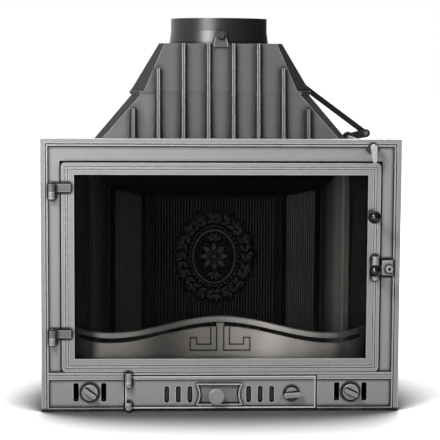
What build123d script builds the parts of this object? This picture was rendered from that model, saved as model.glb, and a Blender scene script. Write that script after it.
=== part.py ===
import os
from math import atan2, cos, degrees, hypot, radians, sin

from build123d import *

os.makedirs("parts", exist_ok=True)

# Cast-iron fireplace insert. X runs to the right, Y to the back and Z up, in millimetres.
# The origin is the middle of the base under the front face; the lip of the frame lies in y = 0.

# Clearances
running_gap = 0.05  # radial play of a shaft or pin that turns
slide_gap = 0.5  # play of sheet parts that slide or turn flat
seat_gap = 0.3  # between parts that meet but move apart
loose_gap = 1.0  # radial play of the opened link pivot
through = 1.0  # a cut runs this far past the face it leaves through
bolt_floor = 1.0  # metal left under a blind bolt hole
edge_break = 1.2  # chamfer round the front of heads and handles
fine_break = 1.0
pin_break = 0.6  # chamfer on the ends of pins

# Front frame
frame_width = 700.0
frame_height = 535.0
lip_width = 9.0  # raised outer border
lip_raise = 2.5  # lip stands this far in front of the field
field_wall = 6.0
rim_depth = 16.0
rim_wall = 6.0
bead_width = 4.0
bead_height = 2.5
bead_inset = 12.5  # outer edge to the middle of the bead, on the sides and at the top
base_bead_height = 6.5  # middle of the lowest bead above the base

# Main door
door_width = 620.0
door_height = 409.5
door_bottom = 79.0
door_depth = 16.0
door_side_gap = 3.5
door_top_gap = 4.0
door_bottom_gap = 1.7
door_corner = 8.0  # rounded lower corners
glass_opening_width = 571.0
glass_opening_bottom = 104.5
glass_opening_top = 465.5
stile_bead_inset = 10.0  # outer edge of the door to the middle of its bead
stile_bead_width = 3.0
stile_groove = 1.8  # groove each side of that bead
stile_groove_depth = 1.5
glass_wall = 4.0
glass_overlap = 10.0
tape_wall = 2.0  # flat seal between glass and door
rope_inset = 2.0  # outer edge of the door to the rope groove
rope_width = 6.2
rope_groove_depth = 3.0
rope_play = 0.3
rope_chamfer = 1.5
tape_reveal = 1.5  # edge of the glass opening to the flat seal
glass_play = 1.5
door_plate = 6.0  # flange in front of the glass
clip_wall = 1.5
clip_height = 14.0
clip_reach = 8.0
clip_heights = (160.0, 410.0)
clip_x = 150.0
clip_screw_radius = 1.75
clip_screw_depth = 5.0
clip_screw_head = 2.3
clip_screw_head_height = 1.8

# The well that the door closes into
well_wall = 8.0
well_depth = 26.0
stop_wall = 6.0
stop_reach = 14.0

# Main hinges: the axis is upright in front of the left field
hinge_x = -328.0
hinge_y = -9.5
knuckle_radius = 6.0
hinge_pin_radius = 3.0
door_knuckle_height = 15.0
frame_knuckle_height = 13.0
upper_hinge_z = 432.3  # joint between the two upper knuckles
lower_hinge_z = 147.0
leaf_wall = 5.0
leaf_end_x = -292.0
knuckle_block_left = 4.0  # block behind each knuckle, from the axis to the left
knuckle_block_right = 6.0
leaf_gap = 0.5  # the leaf clears the frame by this much
leaf_root = 3.0
hinge_pin_head = 3.5  # length of pin above the door knuckle

# Door latch and pull knob
latch_x = 300.0
latch_y = -10.0
latch_z = 284.75
latch_barrel_radius = 6.4
latch_pin_radius = 3.0
latch_hub_height = 16.0
latch_lug_height = 14.5
latch_finger_reach = 22.0
latch_finger_wall = 4.0
latch_finger_height = 13.0
latch_finger_angle = 78.0  # direction of the finger, from +X towards +Y
latch_arm_angle = -97.5  # direction of the ball arm
latch_arm_length = 40.0
latch_ball_radius = 12.0
latch_stem_radius = 3.5
pull_x = 292.5
pull_z = 388.0
pull_reach = 48.0
pull_ball_radius = 12.5
pull_stem_radius = 4.0
latch_notch_depth = 10.0
latch_notch_width = 9.0
latch_notch_gap = 3.0  # room above and below the finger
latch_pocket_depth = 12.3  # pocket in the stile that holds the finger when the door is free
keeper_width = 21.0
keeper_height = 29.0
keeper_front = -8.0
keeper_lip = 4.4
keeper_bolt_head = 7.4
keeper_bolt_head_wall = 4.0
keeper_pocket_width = 8.8
keeper_pocket_height = 20.0
keeper_corner = 2.0
keeper_gap = 0.2  # side of the well to the keeper
keeper_bolt_offset = 14.2  # side of the well to the axis of the bolt
keeper_bolt_drop = 2.2
latch_foot_half = 4.0
latch_land_extra = 4.0
latch_pin_end = 1.5
pull_collar_radius = 7.0
pull_collar_wall = 3.0
ball_bore_depth = 6.0  # how far a stem goes into its ball
bolt_radius = 4.0

# Lower band: ash door in the middle, an air valve at each side
band_top = 73.2  # top of the opening for the ash door
band_bottom = 3.0
band_rail_height = 8.0  # raised rail along the top of the band
ash_opening_width = 380.0
ash_gap = 1.5
ash_wall = 5.0
ash_hinge_inset = 9.7  # side of the ash opening to the hinge axis
ash_hinge_y = -8.0
ash_knuckle_radius = 5.8
ash_pin_radius = 2.5
ash_knuckle_height = 9.5
vent_slot_width = 10.0
vent_slot_height = 33.5
vent_slot_pitch = 22.7
vent_group_x = 80.4  # middle of each group of three slots from the middle of the window
vent_middle_x = -2.5
vent_middle_z = 33.5
window_width = 85.0
window_height = 38.0
window_waist = 5.0  # how far the curved ends bow inwards
window_rim = 2.5
window_rim_height = 2.0
slide_wall = 1.5
slide_catch_room = 14.5  # end of the slide to the axis of the catch
slide_height = 42.0
slide_rest_shift = -6.0  # knob from the middle of the window at rest
slide_knob_radius = 15.5
slide_knob_wall = 7.0
slide_knob_front = -16.0
slide_stem_radius = 4.0
guide_height = 7.0
guide_wall = 1.5
guide_lip = 3.5
guide_catch_room = 8.5  # end of a guide to the axis of the catch
guide_screw_inset = 21.0
guide_screw_radius = 1.5
guide_screw_depth = 3.5
guide_screw_head = 2.6
slide_rivet_radius = 6.0
slide_knob_drop = 1.7
knob_chamfer = 1.5
ash_lug_height = 17.0
ash_lug_low_height = 8.5
lug_arm_step = 0.6  # band to the arm of the upper lug
lug_foot_step = 0.5
pin_tail = 1.0  # hinge pins stand out this far below
ash_upper_hinge_z = 60.0
ash_bead_height = 4.5
catch_inset = 50.5  # side of the ash opening to the axis of the catch
catch_z = 36.0
catch_shaft_radius = 4.0
catch_hub_radius = 11.5
catch_bar_length = 34.0
catch_bar_height = 10.0
catch_bar_angle = 5.0
catch_cam_length = 31.0
catch_cam_width = 11.0
catch_cam_wall = 3.0
catch_cam_front = 11.0
catch_cam_hub = 8.0
catch_lug_half = 9.0
catch_lug_wall = 2.5
catch_hub_wall = 7.2
catch_bar_wall = 7.0
catch_bar_shift = 1.5
catch_bar_drop = 3.0  # the bar sits below the axis
valve_x = 256.0
valve_z = 38.3
valve_slot_spacing = 54.0
valve_slot_width = 11.0
valve_slot_height = 37.0
valve_slot_corner = 3.0
valve_knob_radius = 15.5
valve_knob_wall = 8.0
valve_grip_length = 28.0
valve_grip_width = 7.0
valve_grip_height = 9.0
valve_shaft_radius = 4.0
valve_disc_radius = 34.4
valve_rivet_lip = 2.5
valve_rivet_wall = 1.0
shutter_slot_height = 31.0
shutter_slot_width = 9.0
left_valve_angle = -37.0  # tilt of each grip at rest, seen from the front
right_valve_angle = -25.0

# Firebox castings
wall = 8.0
base_wall = 6.0
body_top = 500.0
firebox_front_half = 296.0
firebox_cheek_y = 52.0
firebox_side_half = 264.0
firebox_side_y = 84.0
firebox_corner_half = 239.0
firebox_corner_y = 305.0
firebox_back_half = 152.0
firebox_back_y = 396.0
fin_wall = 5.0
fin_reach = 12.0
side_fin_start = 130.0
side_fin_pitch = 42.0
side_fins = 4
back_fin_pitch = 55.0
back_fins = 5
back_fin_drop = 30.0  # the fins at the back end this far below the top
fin_root = 2.0
joint_flange_reach = 15.0
hearth_top = 92.0
hearth_wall = 14.0
grate_width = 230.0
grate_depth = 170.0
grate_middle_y = 205.0
grate_wall = 9.0
grate_slot_width = 9.0
grate_slot_pitch = 18.0
grate_ledge = 7.0
grate_gap = 0.5
grate_row_shift = 4.0  # the two rows stand this much closer together
grate_slot_end = 10.0  # each end of a slot to the edge of its half
joint_flange_wall = 6.0
flange_root = 3.0  # depth of a joint flange inside the wall
flange_edge = 1.0  # flange beyond the rim round its bolts
wall_bolt_heights = (60, 250, 440)
frame_bolt_heights = (150, 250, 430)
frame_bolt_radius = 3.0
frame_bolt_head = 5.0
wall_bolt_head = 6.5
head_share = 0.65  # height of a hexagon head as a share of its radius
frame_bolt_reach = 14.0  # how far these bolts go into the frame
frame_flange_margin = 40.0  # flange above and below its outer bolts

# Liners and baffle
liner_wall = 8.0
liner_gap = 4.0  # air space behind the liners
flute_pitch = 6.2
flute_depth = 2.0
flute_margin = 14.0
baffle_wall = 8.0
baffle_back_z = 388.0  # underside of the baffle at the back liner
baffle_slope = 0.31
baffle_front_y = 125.0
baffle_front_gap = 6.0  # edges of the baffle to the walls
baffle_corner_gap = 5.0
baffle_corner_drop = 4.0
baffle_back_gap = 2.0
side_liner_drop = 5.0
corner_trim = 8.0
back_liner_gap = 7.0
medallion_z = 259.0
medallion_half_width = 84.0
medallion_half_height = 97.0
medallion_wall = 3.0
oval_half_width = 48.0
oval_half_height = 64.0
oval_rim = 4.0
wreath_lobes = 16
wreath_lobe_radius = 11.0
wreath_bead_radius = 5.0
wreath_lobe_inset = 3.0  # edge of the medallion to the middle of a lobe
leaf_length = 26.0
leaf_width = 11.0
leaf_raise = 3.0
petals = 8
petal_length = 26.0
petal_width = 11.0
petal_ring_half_width = 19.0
petal_ring_half_height = 27.0
rosette_radius = 8.0

# Log retainer
retainer_y = 36.0
retainer_wall = 8.0
retainer_half = 287.0
retainer_peak = 183.0
retainer_dip = 150.0
retainer_end = 162.5
retainer_dip_x = 226.0
rail_height = 10.0
rail_front = 5.0
key_width = 2.4  # groove of the Greek key
key_depth = 2.0
key_outer = 7.0  # first upright of the key from the middle
key_inner = 18.5
key_near = 46.5
key_far = 59.0
key_base = 115.0
key_low = 127.0
key_hook = 140.5
key_top = 163.0
retainer_slot = 13.0  # height of the slots under the rail
retainer_slot_lap = 2.0  # how far they reach up behind the rail
retainer_slot_end = 8.0  # end of a slot to the end of the plate
rail_knee = 0.45  # point of the rail halfway down, as a share of the way to the dip
rail_knee_drop = 0.42  # how far it has dropped there, as a share

# Ash compartment
ash_box_reveal = 14.0  # side of the ash opening to the outside of the ash box
ash_box_gap = 1.5  # corner of the ash box to the slanted corner of the firebox
ash_box_wall = 6.0
pan_side_gap = 12.0
pan_front_y = 46.0
pan_back_gap = 16.0
runner_place = 0.8  # runners from the middle, as a share of the half width of the pan
pan_height = 52.0
pan_wall = 2.0
pan_corner = 3.0
pan_lip = 10.0
pan_lip_width = 240.0
runner_height = 4.0
runner_width = 12.0

# Hood, collar and damper
shoulder_bottom = 507.0
shoulder_top = 619.0
ledge_wall = 7.0
hood_top = 719.0
hood_wall = 7.0
rib_spacing = 49.0
rib_crest = 5.6
collar_y = 176.0
collar_base_radius = 100.0
collar_radius = 97.0
collar_wall = 6.0
collar_height = 50.0
collar_taper_height = 25.0
collar_spigot_step = 3.0  # the spigot in the hood is this much smaller in radius
ear_half = 13.8
ear_top_radius = 9.5
ear_front = 66.0
ear_wall = 9.0
spindle_z = 734.5
spindle_radius = 5.0
flap_radius = 87.5
flap_wall = 4.0
flap_boss_radius = 8.5
flap_boss_share = 0.92  # half length of the boss as a share of the flap's radius
shaft_x = 293.0
shaft_z = 519.5
shaft_radius = 5.0
shaft_boss_wall = 5.0  # boss on the frame round the shaft
paddle_front = -24.0
paddle_wall = 5.0
paddle_hub = 6.5
paddle_hub_depth = 14.0
paddle_reach = 29.2
paddle_tail_shift = 1.6
paddle_tail_half = 4.0
crank_length = 42.0
crank_angle = 12.0
crank_wall = 5.0
crank_front = 404.0
link_pin_radius = 4.0
link_pin_head = 6.5
link_pin_head_wall = 2.5
bar_width = 12.0
bar_wall = 4.0
bearing_wall = 6.0
bearing_front = 392.0
bearing_boss_radius = 12.5

# More of the hood and damper
shoulder_foot = 6.0  # the shoulder stands this far outside the plan of the firebox
shoulder_low_front = 44.0
shoulder_low_chamfer = 14.0
shoulder_high_front = 56.0
shoulder_high_half = 156.5
shoulder_high_outer = 175.0
shoulder_high_side = 100.0
shoulder_high_corner = 260.0
shoulder_high_back = 313.5
throat_inset = 24.0  # inner edge of the flange between shoulder and hood
ledge_half = 158.0
ledge_outer = 179.0
ledge_front = 56.0  # flush with the plates above and below
ledge_back = 324.0
hood_low_half = 150.5
hood_low_outer = 177.0
hood_low_front = 56.0
hood_low_back = 308.0
hood_high_half = 110.5
hood_high_outer = 121.0
hood_high_front = 70.0
hood_high_back = 300.0
rib_tops = (719.0, 719.0, 671.0, 591.5)  # from the middle outwards
rib_low_width = 21.0
rib_high_width = 8.0
rib_low_front = 30.0
rib_middle_front = 45.6
rib_high_front = 60.0
rib_root = 2.0  # depth of a rib inside the wall it stands on
gusset_half = 310.0
gusset_front = 380.0
gusset_back = 402.0
hood_bolt_depth = 5.5
hood_bolt_edge = (wall + throat_inset) / 2  # bolts halfway across the flange
hood_bolt_front = (130.0, shoulder_high_front + hood_bolt_edge)
hood_bolt_back = (80.0, shoulder_high_back - hood_bolt_edge)
bracket_wall = 6.0
bracket_half = 12.0
bracket_foot_half = 20.0
bracket_foot_front = 276.0
bracket_foot_back = 298.0
bracket_bolt_x = 14.0
bracket_eye = 12.0
bearing_base_half = 15.0
bearing_base_wall = 4.0
bearing_base_front = 382.0
bearing_web_rise = 1.0
bearing_depth = 8.0
bearing_bolt_x = 10.0
bearing_bolt_y = 386.5
spindle_head_front = 58.0
spindle_head_radius = 6.7
crank_hub = 8.0
crank_end = 9.0
link_eye = 7.5

# Values that follow from the ones above
field_front = lip_raise
field_back = field_front + field_wall
half_width = frame_width / 2
door_half = door_width / 2
door_top = door_bottom + door_height
door_middle_z = door_bottom + door_height / 2
well_half = door_half + door_side_gap
well_bottom = door_bottom - door_bottom_gap
well_top = door_top + door_top_gap
well_middle_z = (well_bottom + well_top) / 2
well_height = well_top - well_bottom
stop_front = well_depth - stop_wall
keeper_bolt_x = well_half + keeper_bolt_offset
keeper_bolt_z = latch_z - keeper_bolt_drop
glass_half = glass_opening_width / 2
glass_opening_height = glass_opening_top - glass_opening_bottom
glass_middle_z = (glass_opening_top + glass_opening_bottom) / 2
glass_front = door_plate + tape_wall
glass_recess_half = glass_half + glass_overlap + glass_play
glass_recess_height = glass_opening_height + 2 * (glass_overlap + glass_play)
glass_back = glass_front + glass_wall
ash_opening_height = band_top - band_bottom
ash_middle_z = (band_top + band_bottom) / 2
ash_back = field_front + ash_wall
ash_hinge_x = ash_hinge_inset - ash_opening_width / 2
catch_x = ash_opening_width / 2 - catch_inset
slide_half = catch_x - slide_catch_room
guide_half = catch_x - guide_catch_room
guide_screw_x = guide_half - guide_screw_inset
ash_box_half = ash_opening_width / 2 + ash_box_reveal
corner_run = (firebox_back_y - firebox_corner_y) / (firebox_corner_half - firebox_back_half)
ash_box_back = firebox_back_y - corner_run * (ash_box_half + ash_box_gap - firebox_back_half)
pan_half = ash_box_half - ash_box_wall - pan_side_gap
pan_back_y = ash_box_back - ash_box_wall - pan_back_gap
slide_front = ash_back + slide_gap
link_angle = degrees(atan2(spindle_z - shaft_z, -shaft_x))
link_length = hypot(shaft_x, spindle_z - shaft_z)


def front_plane(y):
    """Upright plane at depth y, seen from the front: X to the right, Z up, normal to the viewer."""
    return Plane.XZ.offset(-y)


def mirrored(points):
    """Closed plan outline from the points of its right half, listed front to back."""
    return points + [(-x, y) for x, y in reversed(points)]


firebox_plan = mirrored([
    (firebox_front_half, well_depth),
    (firebox_front_half, firebox_cheek_y),
    (firebox_side_half, firebox_side_y),
    (firebox_corner_half, firebox_corner_y),
    (firebox_back_half, firebox_back_y),
])


def firebox_side_x(y):
    """Inner face of the right side wall at depth y, behind the cheek."""
    share = (y - firebox_side_y) / (firebox_corner_y - firebox_side_y)
    return firebox_side_half + (firebox_corner_half - firebox_side_half) * share


def octagon(front_half, outer_half, front_y, back_y):
    """Plan of the hood at one height: chamfered at 45 degrees front and back."""
    chamfer_size = outer_half - front_half
    return mirrored([
        (front_half, front_y),
        (outer_half, front_y + chamfer_size),
        (outer_half, back_y - chamfer_size),
        (front_half, back_y),
    ])


def hex_bolt(radius, length, head):
    """Bolt along +Z with its hexagon head below z = 0."""
    shank = Cylinder(radius, length, align=(Align.CENTER, Align.CENTER, Align.MIN))
    cap = extrude(RegularPolygon(head, 6), amount=-head_share * head)
    return shank + cap


def rod_back(radius, length, mode=Mode.ADD):
    """Round rod that runs back (+Y) from the current location."""
    Cylinder(radius, length, rotation=(-90, 0, 0), align=(Align.CENTER, Align.CENTER, Align.MIN), mode=mode)


def rod_up(radius, length, mode=Mode.ADD):
    """Round rod that runs up (+Z) from the current location."""
    Cylinder(radius, length, align=(Align.CENTER, Align.CENTER, Align.MIN), mode=mode)


# Front frame: lip, bead and field, the well of the main door and the band under it
with BuildPart() as front_frame:
    with BuildSketch(front_plane(rim_depth)):
        with Locations((0, frame_height / 2)):
            Rectangle(frame_width, frame_height)
    extrude(amount=rim_depth)
    # The front is cut back to the field, leaving the lip
    with BuildSketch(front_plane(field_front)):
        with Locations((0, frame_height / 2)):
            Rectangle(frame_width - 2 * lip_width, frame_height - 2 * lip_width)
        with Locations((0, frame_height / 4)):
            Rectangle(frame_width - 2 * lip_width, frame_height / 2 - 2 * band_bottom)
    extrude(amount=lip_raise, mode=Mode.SUBTRACT)
    # The back is hollow inside the rim
    with BuildSketch(front_plane(rim_depth)):
        with Locations((0, (frame_height - rim_wall + band_bottom) / 2)):
            Rectangle(frame_width - 2 * rim_wall, frame_height - rim_wall - band_bottom)
    extrude(amount=rim_depth - field_back, mode=Mode.SUBTRACT)
    # Well of the main door
    with BuildSketch(front_plane(well_depth)):
        with Locations((0, well_middle_z)):
            Rectangle(2 * (well_half + well_wall), well_height + 2 * (well_bottom - band_top))
        with Locations((0, well_top)):
            Rectangle(2 * (well_half + well_wall), 2 * well_wall)
    extrude(amount=well_depth - field_front)
    # Cheeks of the air box under the well
    with BuildSketch(front_plane(well_depth)):
        with Locations((0, (band_top + band_bottom) / 2)):
            Rectangle(2 * (firebox_front_half + 2 * wall), band_top - band_bottom)
            Rectangle(2 * (firebox_front_half + wall), band_top - band_bottom, mode=Mode.SUBTRACT)
    extrude(amount=well_depth - field_back)
    # Raised rails that run above and below the side panels
    with BuildSketch(front_plane(field_front)):
        with Locations((0, (band_top + well_bottom) / 2)):
            Rectangle(2 * (half_width - bead_inset), well_bottom - band_top)
        with Locations((0, band_top - ash_gap - band_rail_height / 2)):
            Rectangle(2 * (half_width - bead_inset), band_rail_height)
    extrude(amount=bead_height)
    # Bead that follows the lip
    with BuildSketch(front_plane(field_front)):
        with Locations((0, (frame_height - bead_inset + base_bead_height) / 2)):
            Rectangle(frame_width - 2 * bead_inset + bead_width,
                      frame_height - bead_inset - base_bead_height + bead_width)
            Rectangle(frame_width - 2 * bead_inset - bead_width,
                      frame_height - bead_inset - base_bead_height - bead_width, mode=Mode.SUBTRACT)
    extrude(amount=bead_height, taper=18)
    # Openings for the main door, the stop it closes on, and the ash door
    with BuildSketch(front_plane(stop_front)):
        with Locations((0, well_middle_z)):
            Rectangle(2 * well_half, well_height)
    extrude(amount=stop_front, mode=Mode.SUBTRACT)
    with BuildSketch(front_plane(well_depth)):
        with Locations((0, well_middle_z)):
            RectangleRounded(2 * (well_half - stop_reach), well_height - 2 * stop_reach, door_corner)
    extrude(amount=stop_wall, mode=Mode.SUBTRACT)
    with BuildSketch(front_plane(field_back)):
        with Locations((0, ash_middle_z)):
            Rectangle(ash_opening_width, ash_opening_height)
    extrude(amount=field_back, mode=Mode.SUBTRACT)
    # Slots of the air valves and the bores of their shafts
    with BuildSketch(front_plane(field_back)):
        for side in (-1, 1):
            for slot in (-1, 1):
                with Locations((side * valve_x + slot * valve_slot_spacing / 2, valve_z)):
                    RectangleRounded(valve_slot_width, valve_slot_height, valve_slot_corner)
            with Locations((side * valve_x, valve_z)):
                Circle(valve_shaft_radius + running_gap)
    extrude(amount=field_wall, mode=Mode.SUBTRACT)
    # Notch that the latch finger swings into
    with BuildSketch(front_plane(latch_notch_depth)):
        with Locations((well_half, latch_z)):
            Rectangle(2 * latch_notch_width, latch_finger_height + 2 * latch_notch_gap)
    extrude(amount=latch_notch_depth, mode=Mode.SUBTRACT)
    # Bearing of the damper shaft
    with BuildSketch(front_plane(rim_depth)):
        with Locations((shaft_x, shaft_z)):
            Circle(shaft_radius + shaft_boss_wall)
    extrude(amount=rim_depth - field_front + bead_height)
    with BuildSketch(front_plane(rim_depth)):
        with Locations((shaft_x, shaft_z)):
            Circle(shaft_radius + running_gap)
    extrude(amount=rim_depth + through, mode=Mode.SUBTRACT)
    # Blind holes for the bolts that hold the frame to the side walls
    with BuildSketch(front_plane(well_depth)):
        for side in (-1, 1):
            for bolt_z in frame_bolt_heights:
                with Locations((side * (well_half + well_wall / 2), bolt_z)):
                    Circle(frame_bolt_radius)
    extrude(amount=frame_bolt_reach, mode=Mode.SUBTRACT)
    # Lug behind the ash door that its catch turns behind
    with BuildSketch(front_plane(slide_front + catch_lug_wall)):
        with Locations((catch_x, (band_top + ash_upper_hinge_z) / 2)):
            Rectangle(2 * catch_lug_half, band_top - ash_upper_hinge_z)
    extrude(amount=catch_lug_wall)
    # Bore for the bolt of the keeper
    with BuildSketch(front_plane(field_back)):
        with Locations((keeper_bolt_x, keeper_bolt_z)):
            Circle(bolt_radius)
    extrude(amount=field_wall, mode=Mode.SUBTRACT)
front_frame.part.label = "front_frame"
export_step(front_frame.part, "parts/front_frame.step")

# Base under the firebox, with the runners of the ash pan
with BuildPart() as base_plate:
    with BuildSketch(Plane.XY):
        with BuildLine():
            Polyline(*firebox_plan, close=True)
        make_face()
        offset(amount=wall, kind=Kind.INTERSECTION)
        with Locations((0, (rim_depth + firebox_cheek_y) / 2)):
            Rectangle(2 * (firebox_front_half + wall), firebox_cheek_y - rim_depth)
    extrude(amount=base_wall)
    with BuildSketch(Plane.XY.offset(base_wall)):
        with Locations((-runner_place * pan_half, (pan_front_y + pan_back_y) / 2),
                       (runner_place * pan_half, (pan_front_y + pan_back_y) / 2)):
            Rectangle(runner_width, pan_back_y - pan_front_y)
    extrude(amount=runner_height)
base_plate.part.label = "base_plate"
export_step(base_plate.part, "parts/base_plate.step")

# Side castings with upright fins, a flange towards the frame and a joint flange at the back
for side, name in ((-1, "left_wall"), (1, "right_wall")):
    with BuildPart() as side_wall:
        with BuildSketch(Plane.XY.offset(base_wall)):
            with BuildLine():
                Polyline(*firebox_plan, close=True)
            make_face()
            offset(amount=wall, kind=Kind.INTERSECTION)
            with BuildLine():
                Polyline(*firebox_plan, close=True)
            make_face(mode=Mode.SUBTRACT)
            with Locations((side * half_width / 2, (well_depth + firebox_corner_y) / 2)):
                Rectangle(half_width, firebox_corner_y - well_depth, mode=Mode.INTERSECT)
            # Fins
            for fin in range(side_fins):
                fin_y = side_fin_start + fin * side_fin_pitch
                with Locations((side * (firebox_side_x(fin_y) + wall + fin_reach / 2 - fin_root), fin_y)):
                    Rectangle(fin_reach + 2 * fin_root, fin_wall)
            # Joint flange
            with Locations((side * (firebox_corner_half + wall + (joint_flange_reach + flange_edge - flange_root) / 2),
                            firebox_corner_y - joint_flange_wall / 2)):
                Rectangle(joint_flange_reach + flange_edge + flange_root, joint_flange_wall)
        extrude(amount=body_top - base_wall)
        # Flange that the frame is bolted to
        with BuildSketch(Plane.XY.offset(frame_bolt_heights[0] - frame_flange_margin)):
            with Locations((side * (firebox_front_half + (wall + well_half + well_wall - firebox_front_half) / 2),
                            well_depth + joint_flange_wall / 2)):
                Rectangle(well_half + well_wall - firebox_front_half - wall + 2, joint_flange_wall)
        extrude(amount=frame_bolt_heights[-1] - frame_bolt_heights[0] + 2 * frame_flange_margin)
        with BuildSketch(front_plane(firebox_corner_y)):
            for bolt_z in wall_bolt_heights:
                with Locations((side * (firebox_corner_half + wall + joint_flange_reach / 2 + flange_edge), bolt_z)):
                    Circle(bolt_radius)
        extrude(amount=joint_flange_wall, mode=Mode.SUBTRACT)
        with BuildSketch(front_plane(well_depth + joint_flange_wall)):
            for bolt_z in frame_bolt_heights:
                with Locations((side * (well_half + well_wall / 2), bolt_z)):
                    Circle(frame_bolt_radius)
        extrude(amount=joint_flange_wall, mode=Mode.SUBTRACT)
    side_wall.part.label = name
    export_step(side_wall.part, "parts/" + name + ".step")

# Back casting with its slanted corners and upright fins
with BuildPart() as back_wall:
    with BuildSketch(Plane.XY.offset(base_wall)):
        with BuildLine():
            Polyline(*firebox_plan, close=True)
        make_face()
        offset(amount=wall, kind=Kind.INTERSECTION)
        with BuildLine():
            Polyline(*firebox_plan, close=True)
        make_face(mode=Mode.SUBTRACT)
        with Locations((0, firebox_corner_y + half_width / 2)):
            Rectangle(frame_width, half_width, mode=Mode.INTERSECT)
        for side in (-1, 1):
            with Locations((side * (firebox_corner_half + wall + (joint_flange_reach + flange_edge - flange_root) / 2),
                            firebox_corner_y + joint_flange_wall / 2)):
                Rectangle(joint_flange_reach + flange_edge + flange_root, joint_flange_wall)
    extrude(amount=body_top - base_wall)
    with BuildSketch(Plane.XY.offset(base_wall)):
        for fin in range(back_fins):
            fin_x = (fin - (back_fins - 1) / 2) * back_fin_pitch
            with Locations((fin_x, firebox_back_y + wall + fin_reach / 2 - fin_root)):
                Rectangle(fin_wall, fin_reach + 2 * fin_root)
    extrude(amount=body_top - base_wall - back_fin_drop)
    with BuildSketch(front_plane(firebox_corner_y + joint_flange_wall)):
        for side in (-1, 1):
            for bolt_z in wall_bolt_heights:
                with Locations((side * (firebox_corner_half + wall + joint_flange_reach / 2 + flange_edge), bolt_z)):
                    Circle(bolt_radius)
    extrude(amount=joint_flange_wall, mode=Mode.SUBTRACT)
back_wall.part.label = "back_wall"
export_step(back_wall.part, "parts/back_wall.step")

# Ash compartment: throat behind the ash door, two sides and a back that carry the hearth
with BuildPart() as ash_box:
    with BuildSketch(Plane.XY.offset(base_wall)):
        with Locations((0, (well_depth + ash_box_back) / 2)):
            Rectangle(2 * ash_box_half, ash_box_back - well_depth)
        with Locations((0, (well_depth + ash_box_back - ash_box_wall) / 2)):
            Rectangle(2 * (ash_box_half - ash_box_wall), ash_box_back - ash_box_wall - well_depth,
                      mode=Mode.SUBTRACT)
    extrude(amount=hearth_top - hearth_wall - base_wall)
    with BuildSketch(Plane.XY.offset(base_wall)):
        for side in (-1, 1):
            with Locations((side * (ash_box_half - ash_box_wall / 2), (field_back + well_depth) / 2)):
                Rectangle(ash_box_wall, well_depth - field_back)
    extrude(amount=band_top - base_wall)
ash_box.part.label = "ash_box"
export_step(ash_box.part, "parts/ash_box.step")

# Hearth with a stepped opening for the grate
with BuildPart() as hearth_plate:
    with BuildSketch(Plane.XY.offset(hearth_top - hearth_wall)):
        with BuildLine():
            Polyline(*firebox_plan, close=True)
        make_face()
        with Locations((0, grate_middle_y)):
            Rectangle(grate_width - 2 * grate_ledge, grate_depth - 2 * grate_ledge, mode=Mode.SUBTRACT)
    extrude(amount=hearth_wall)
    with BuildSketch(Plane.XY.offset(hearth_top - grate_wall)):
        with Locations((0, grate_middle_y)):
            Rectangle(grate_width, grate_depth)
    extrude(amount=grate_wall, mode=Mode.SUBTRACT)
hearth_plate.part.label = "hearth_plate"
export_step(hearth_plate.part, "parts/hearth_plate.step")

# Grate: two rows of slots
with BuildPart() as grate:
    with BuildSketch(Plane.XY.offset(hearth_top - grate_wall)):
        with Locations((0, grate_middle_y)):
            Rectangle(grate_width - 2 * grate_gap, grate_depth - 2 * grate_gap)
            slot_count = int((grate_width - 3 * grate_slot_width) / grate_slot_pitch)
            with GridLocations(grate_slot_pitch, grate_depth / 2 - grate_row_shift, slot_count, 2):
                SlotOverall(grate_depth / 2 - 2 * grate_slot_end, grate_slot_width, rotation=90, mode=Mode.SUBTRACT)
    extrude(amount=grate_wall)
grate.part.label = "grate"
export_step(grate.part, "parts/grate.step")

# Plane of the underside of the baffle; its second axis runs down towards the back
baffle_back_y = firebox_back_y - liner_gap
baffle_plane = Plane(origin=(0, baffle_back_y, baffle_back_z), x_dir=(1, 0, 0), z_dir=(0, baffle_slope, 1))
baffle_stretch = hypot(1, baffle_slope)

# Baffle: rests on the tops of all the liners
with BuildPart() as baffle_plate:
    baffle_outline = mirrored([
        (firebox_side_x(baffle_front_y) - baffle_front_gap, (baffle_front_y - baffle_back_y) * baffle_stretch),
        (firebox_corner_half - baffle_corner_gap,
         (firebox_corner_y - baffle_corner_drop - baffle_back_y) * baffle_stretch),
        (firebox_back_half - baffle_corner_gap, -baffle_back_gap * baffle_stretch),
    ])
    with BuildSketch(baffle_plane):
        with BuildLine():
            Polyline(*baffle_outline, close=True)
        make_face()
    extrude(amount=baffle_wall)
baffle_plate.part.label = "baffle_plate"
export_step(baffle_plate.part, "parts/baffle_plate.step")

# Side liners: smooth plates from the hearth to the baffle
for side, name in ((-1, "left_side_liner"), (1, "right_side_liner")):
    with BuildPart() as side_liner:
        front_y = firebox_side_y + 2
        back_y = firebox_corner_y - side_liner_drop
        outline = [
            (side * (firebox_side_x(front_y) - liner_gap), front_y),
            (side * (firebox_side_x(back_y) - liner_gap), back_y),
            (side * (firebox_side_x(back_y) - liner_gap - liner_wall), back_y),
            (side * (firebox_side_x(front_y) - liner_gap - liner_wall), front_y),
        ]
        with BuildSketch(Plane.XY.offset(hearth_top)):
            with BuildLine():
                Polyline(*outline, close=True)
            make_face()
        extrude(amount=body_top - hearth_top - ledge_wall)
        split(bisect_by=baffle_plane, keep=Keep.BOTTOM)
    side_liner.part.label = name
    export_step(side_liner.part, "parts/" + name + ".step")


def fluted_section(length):
    """Plan of a liner: flat at the back, V flutes on the fire side between two plain margins."""
    count = int((length - 2 * flute_margin) / flute_pitch)
    start = (length - count * flute_pitch) / 2
    points = [(0, 0), (0, liner_wall), (start, liner_wall)]
    for index in range(count):
        points.append((start + (index + 0.5) * flute_pitch, liner_wall - flute_depth))
        points.append((start + (index + 1) * flute_pitch, liner_wall))
    return points + [(length, liner_wall), (length, 0)]


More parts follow.
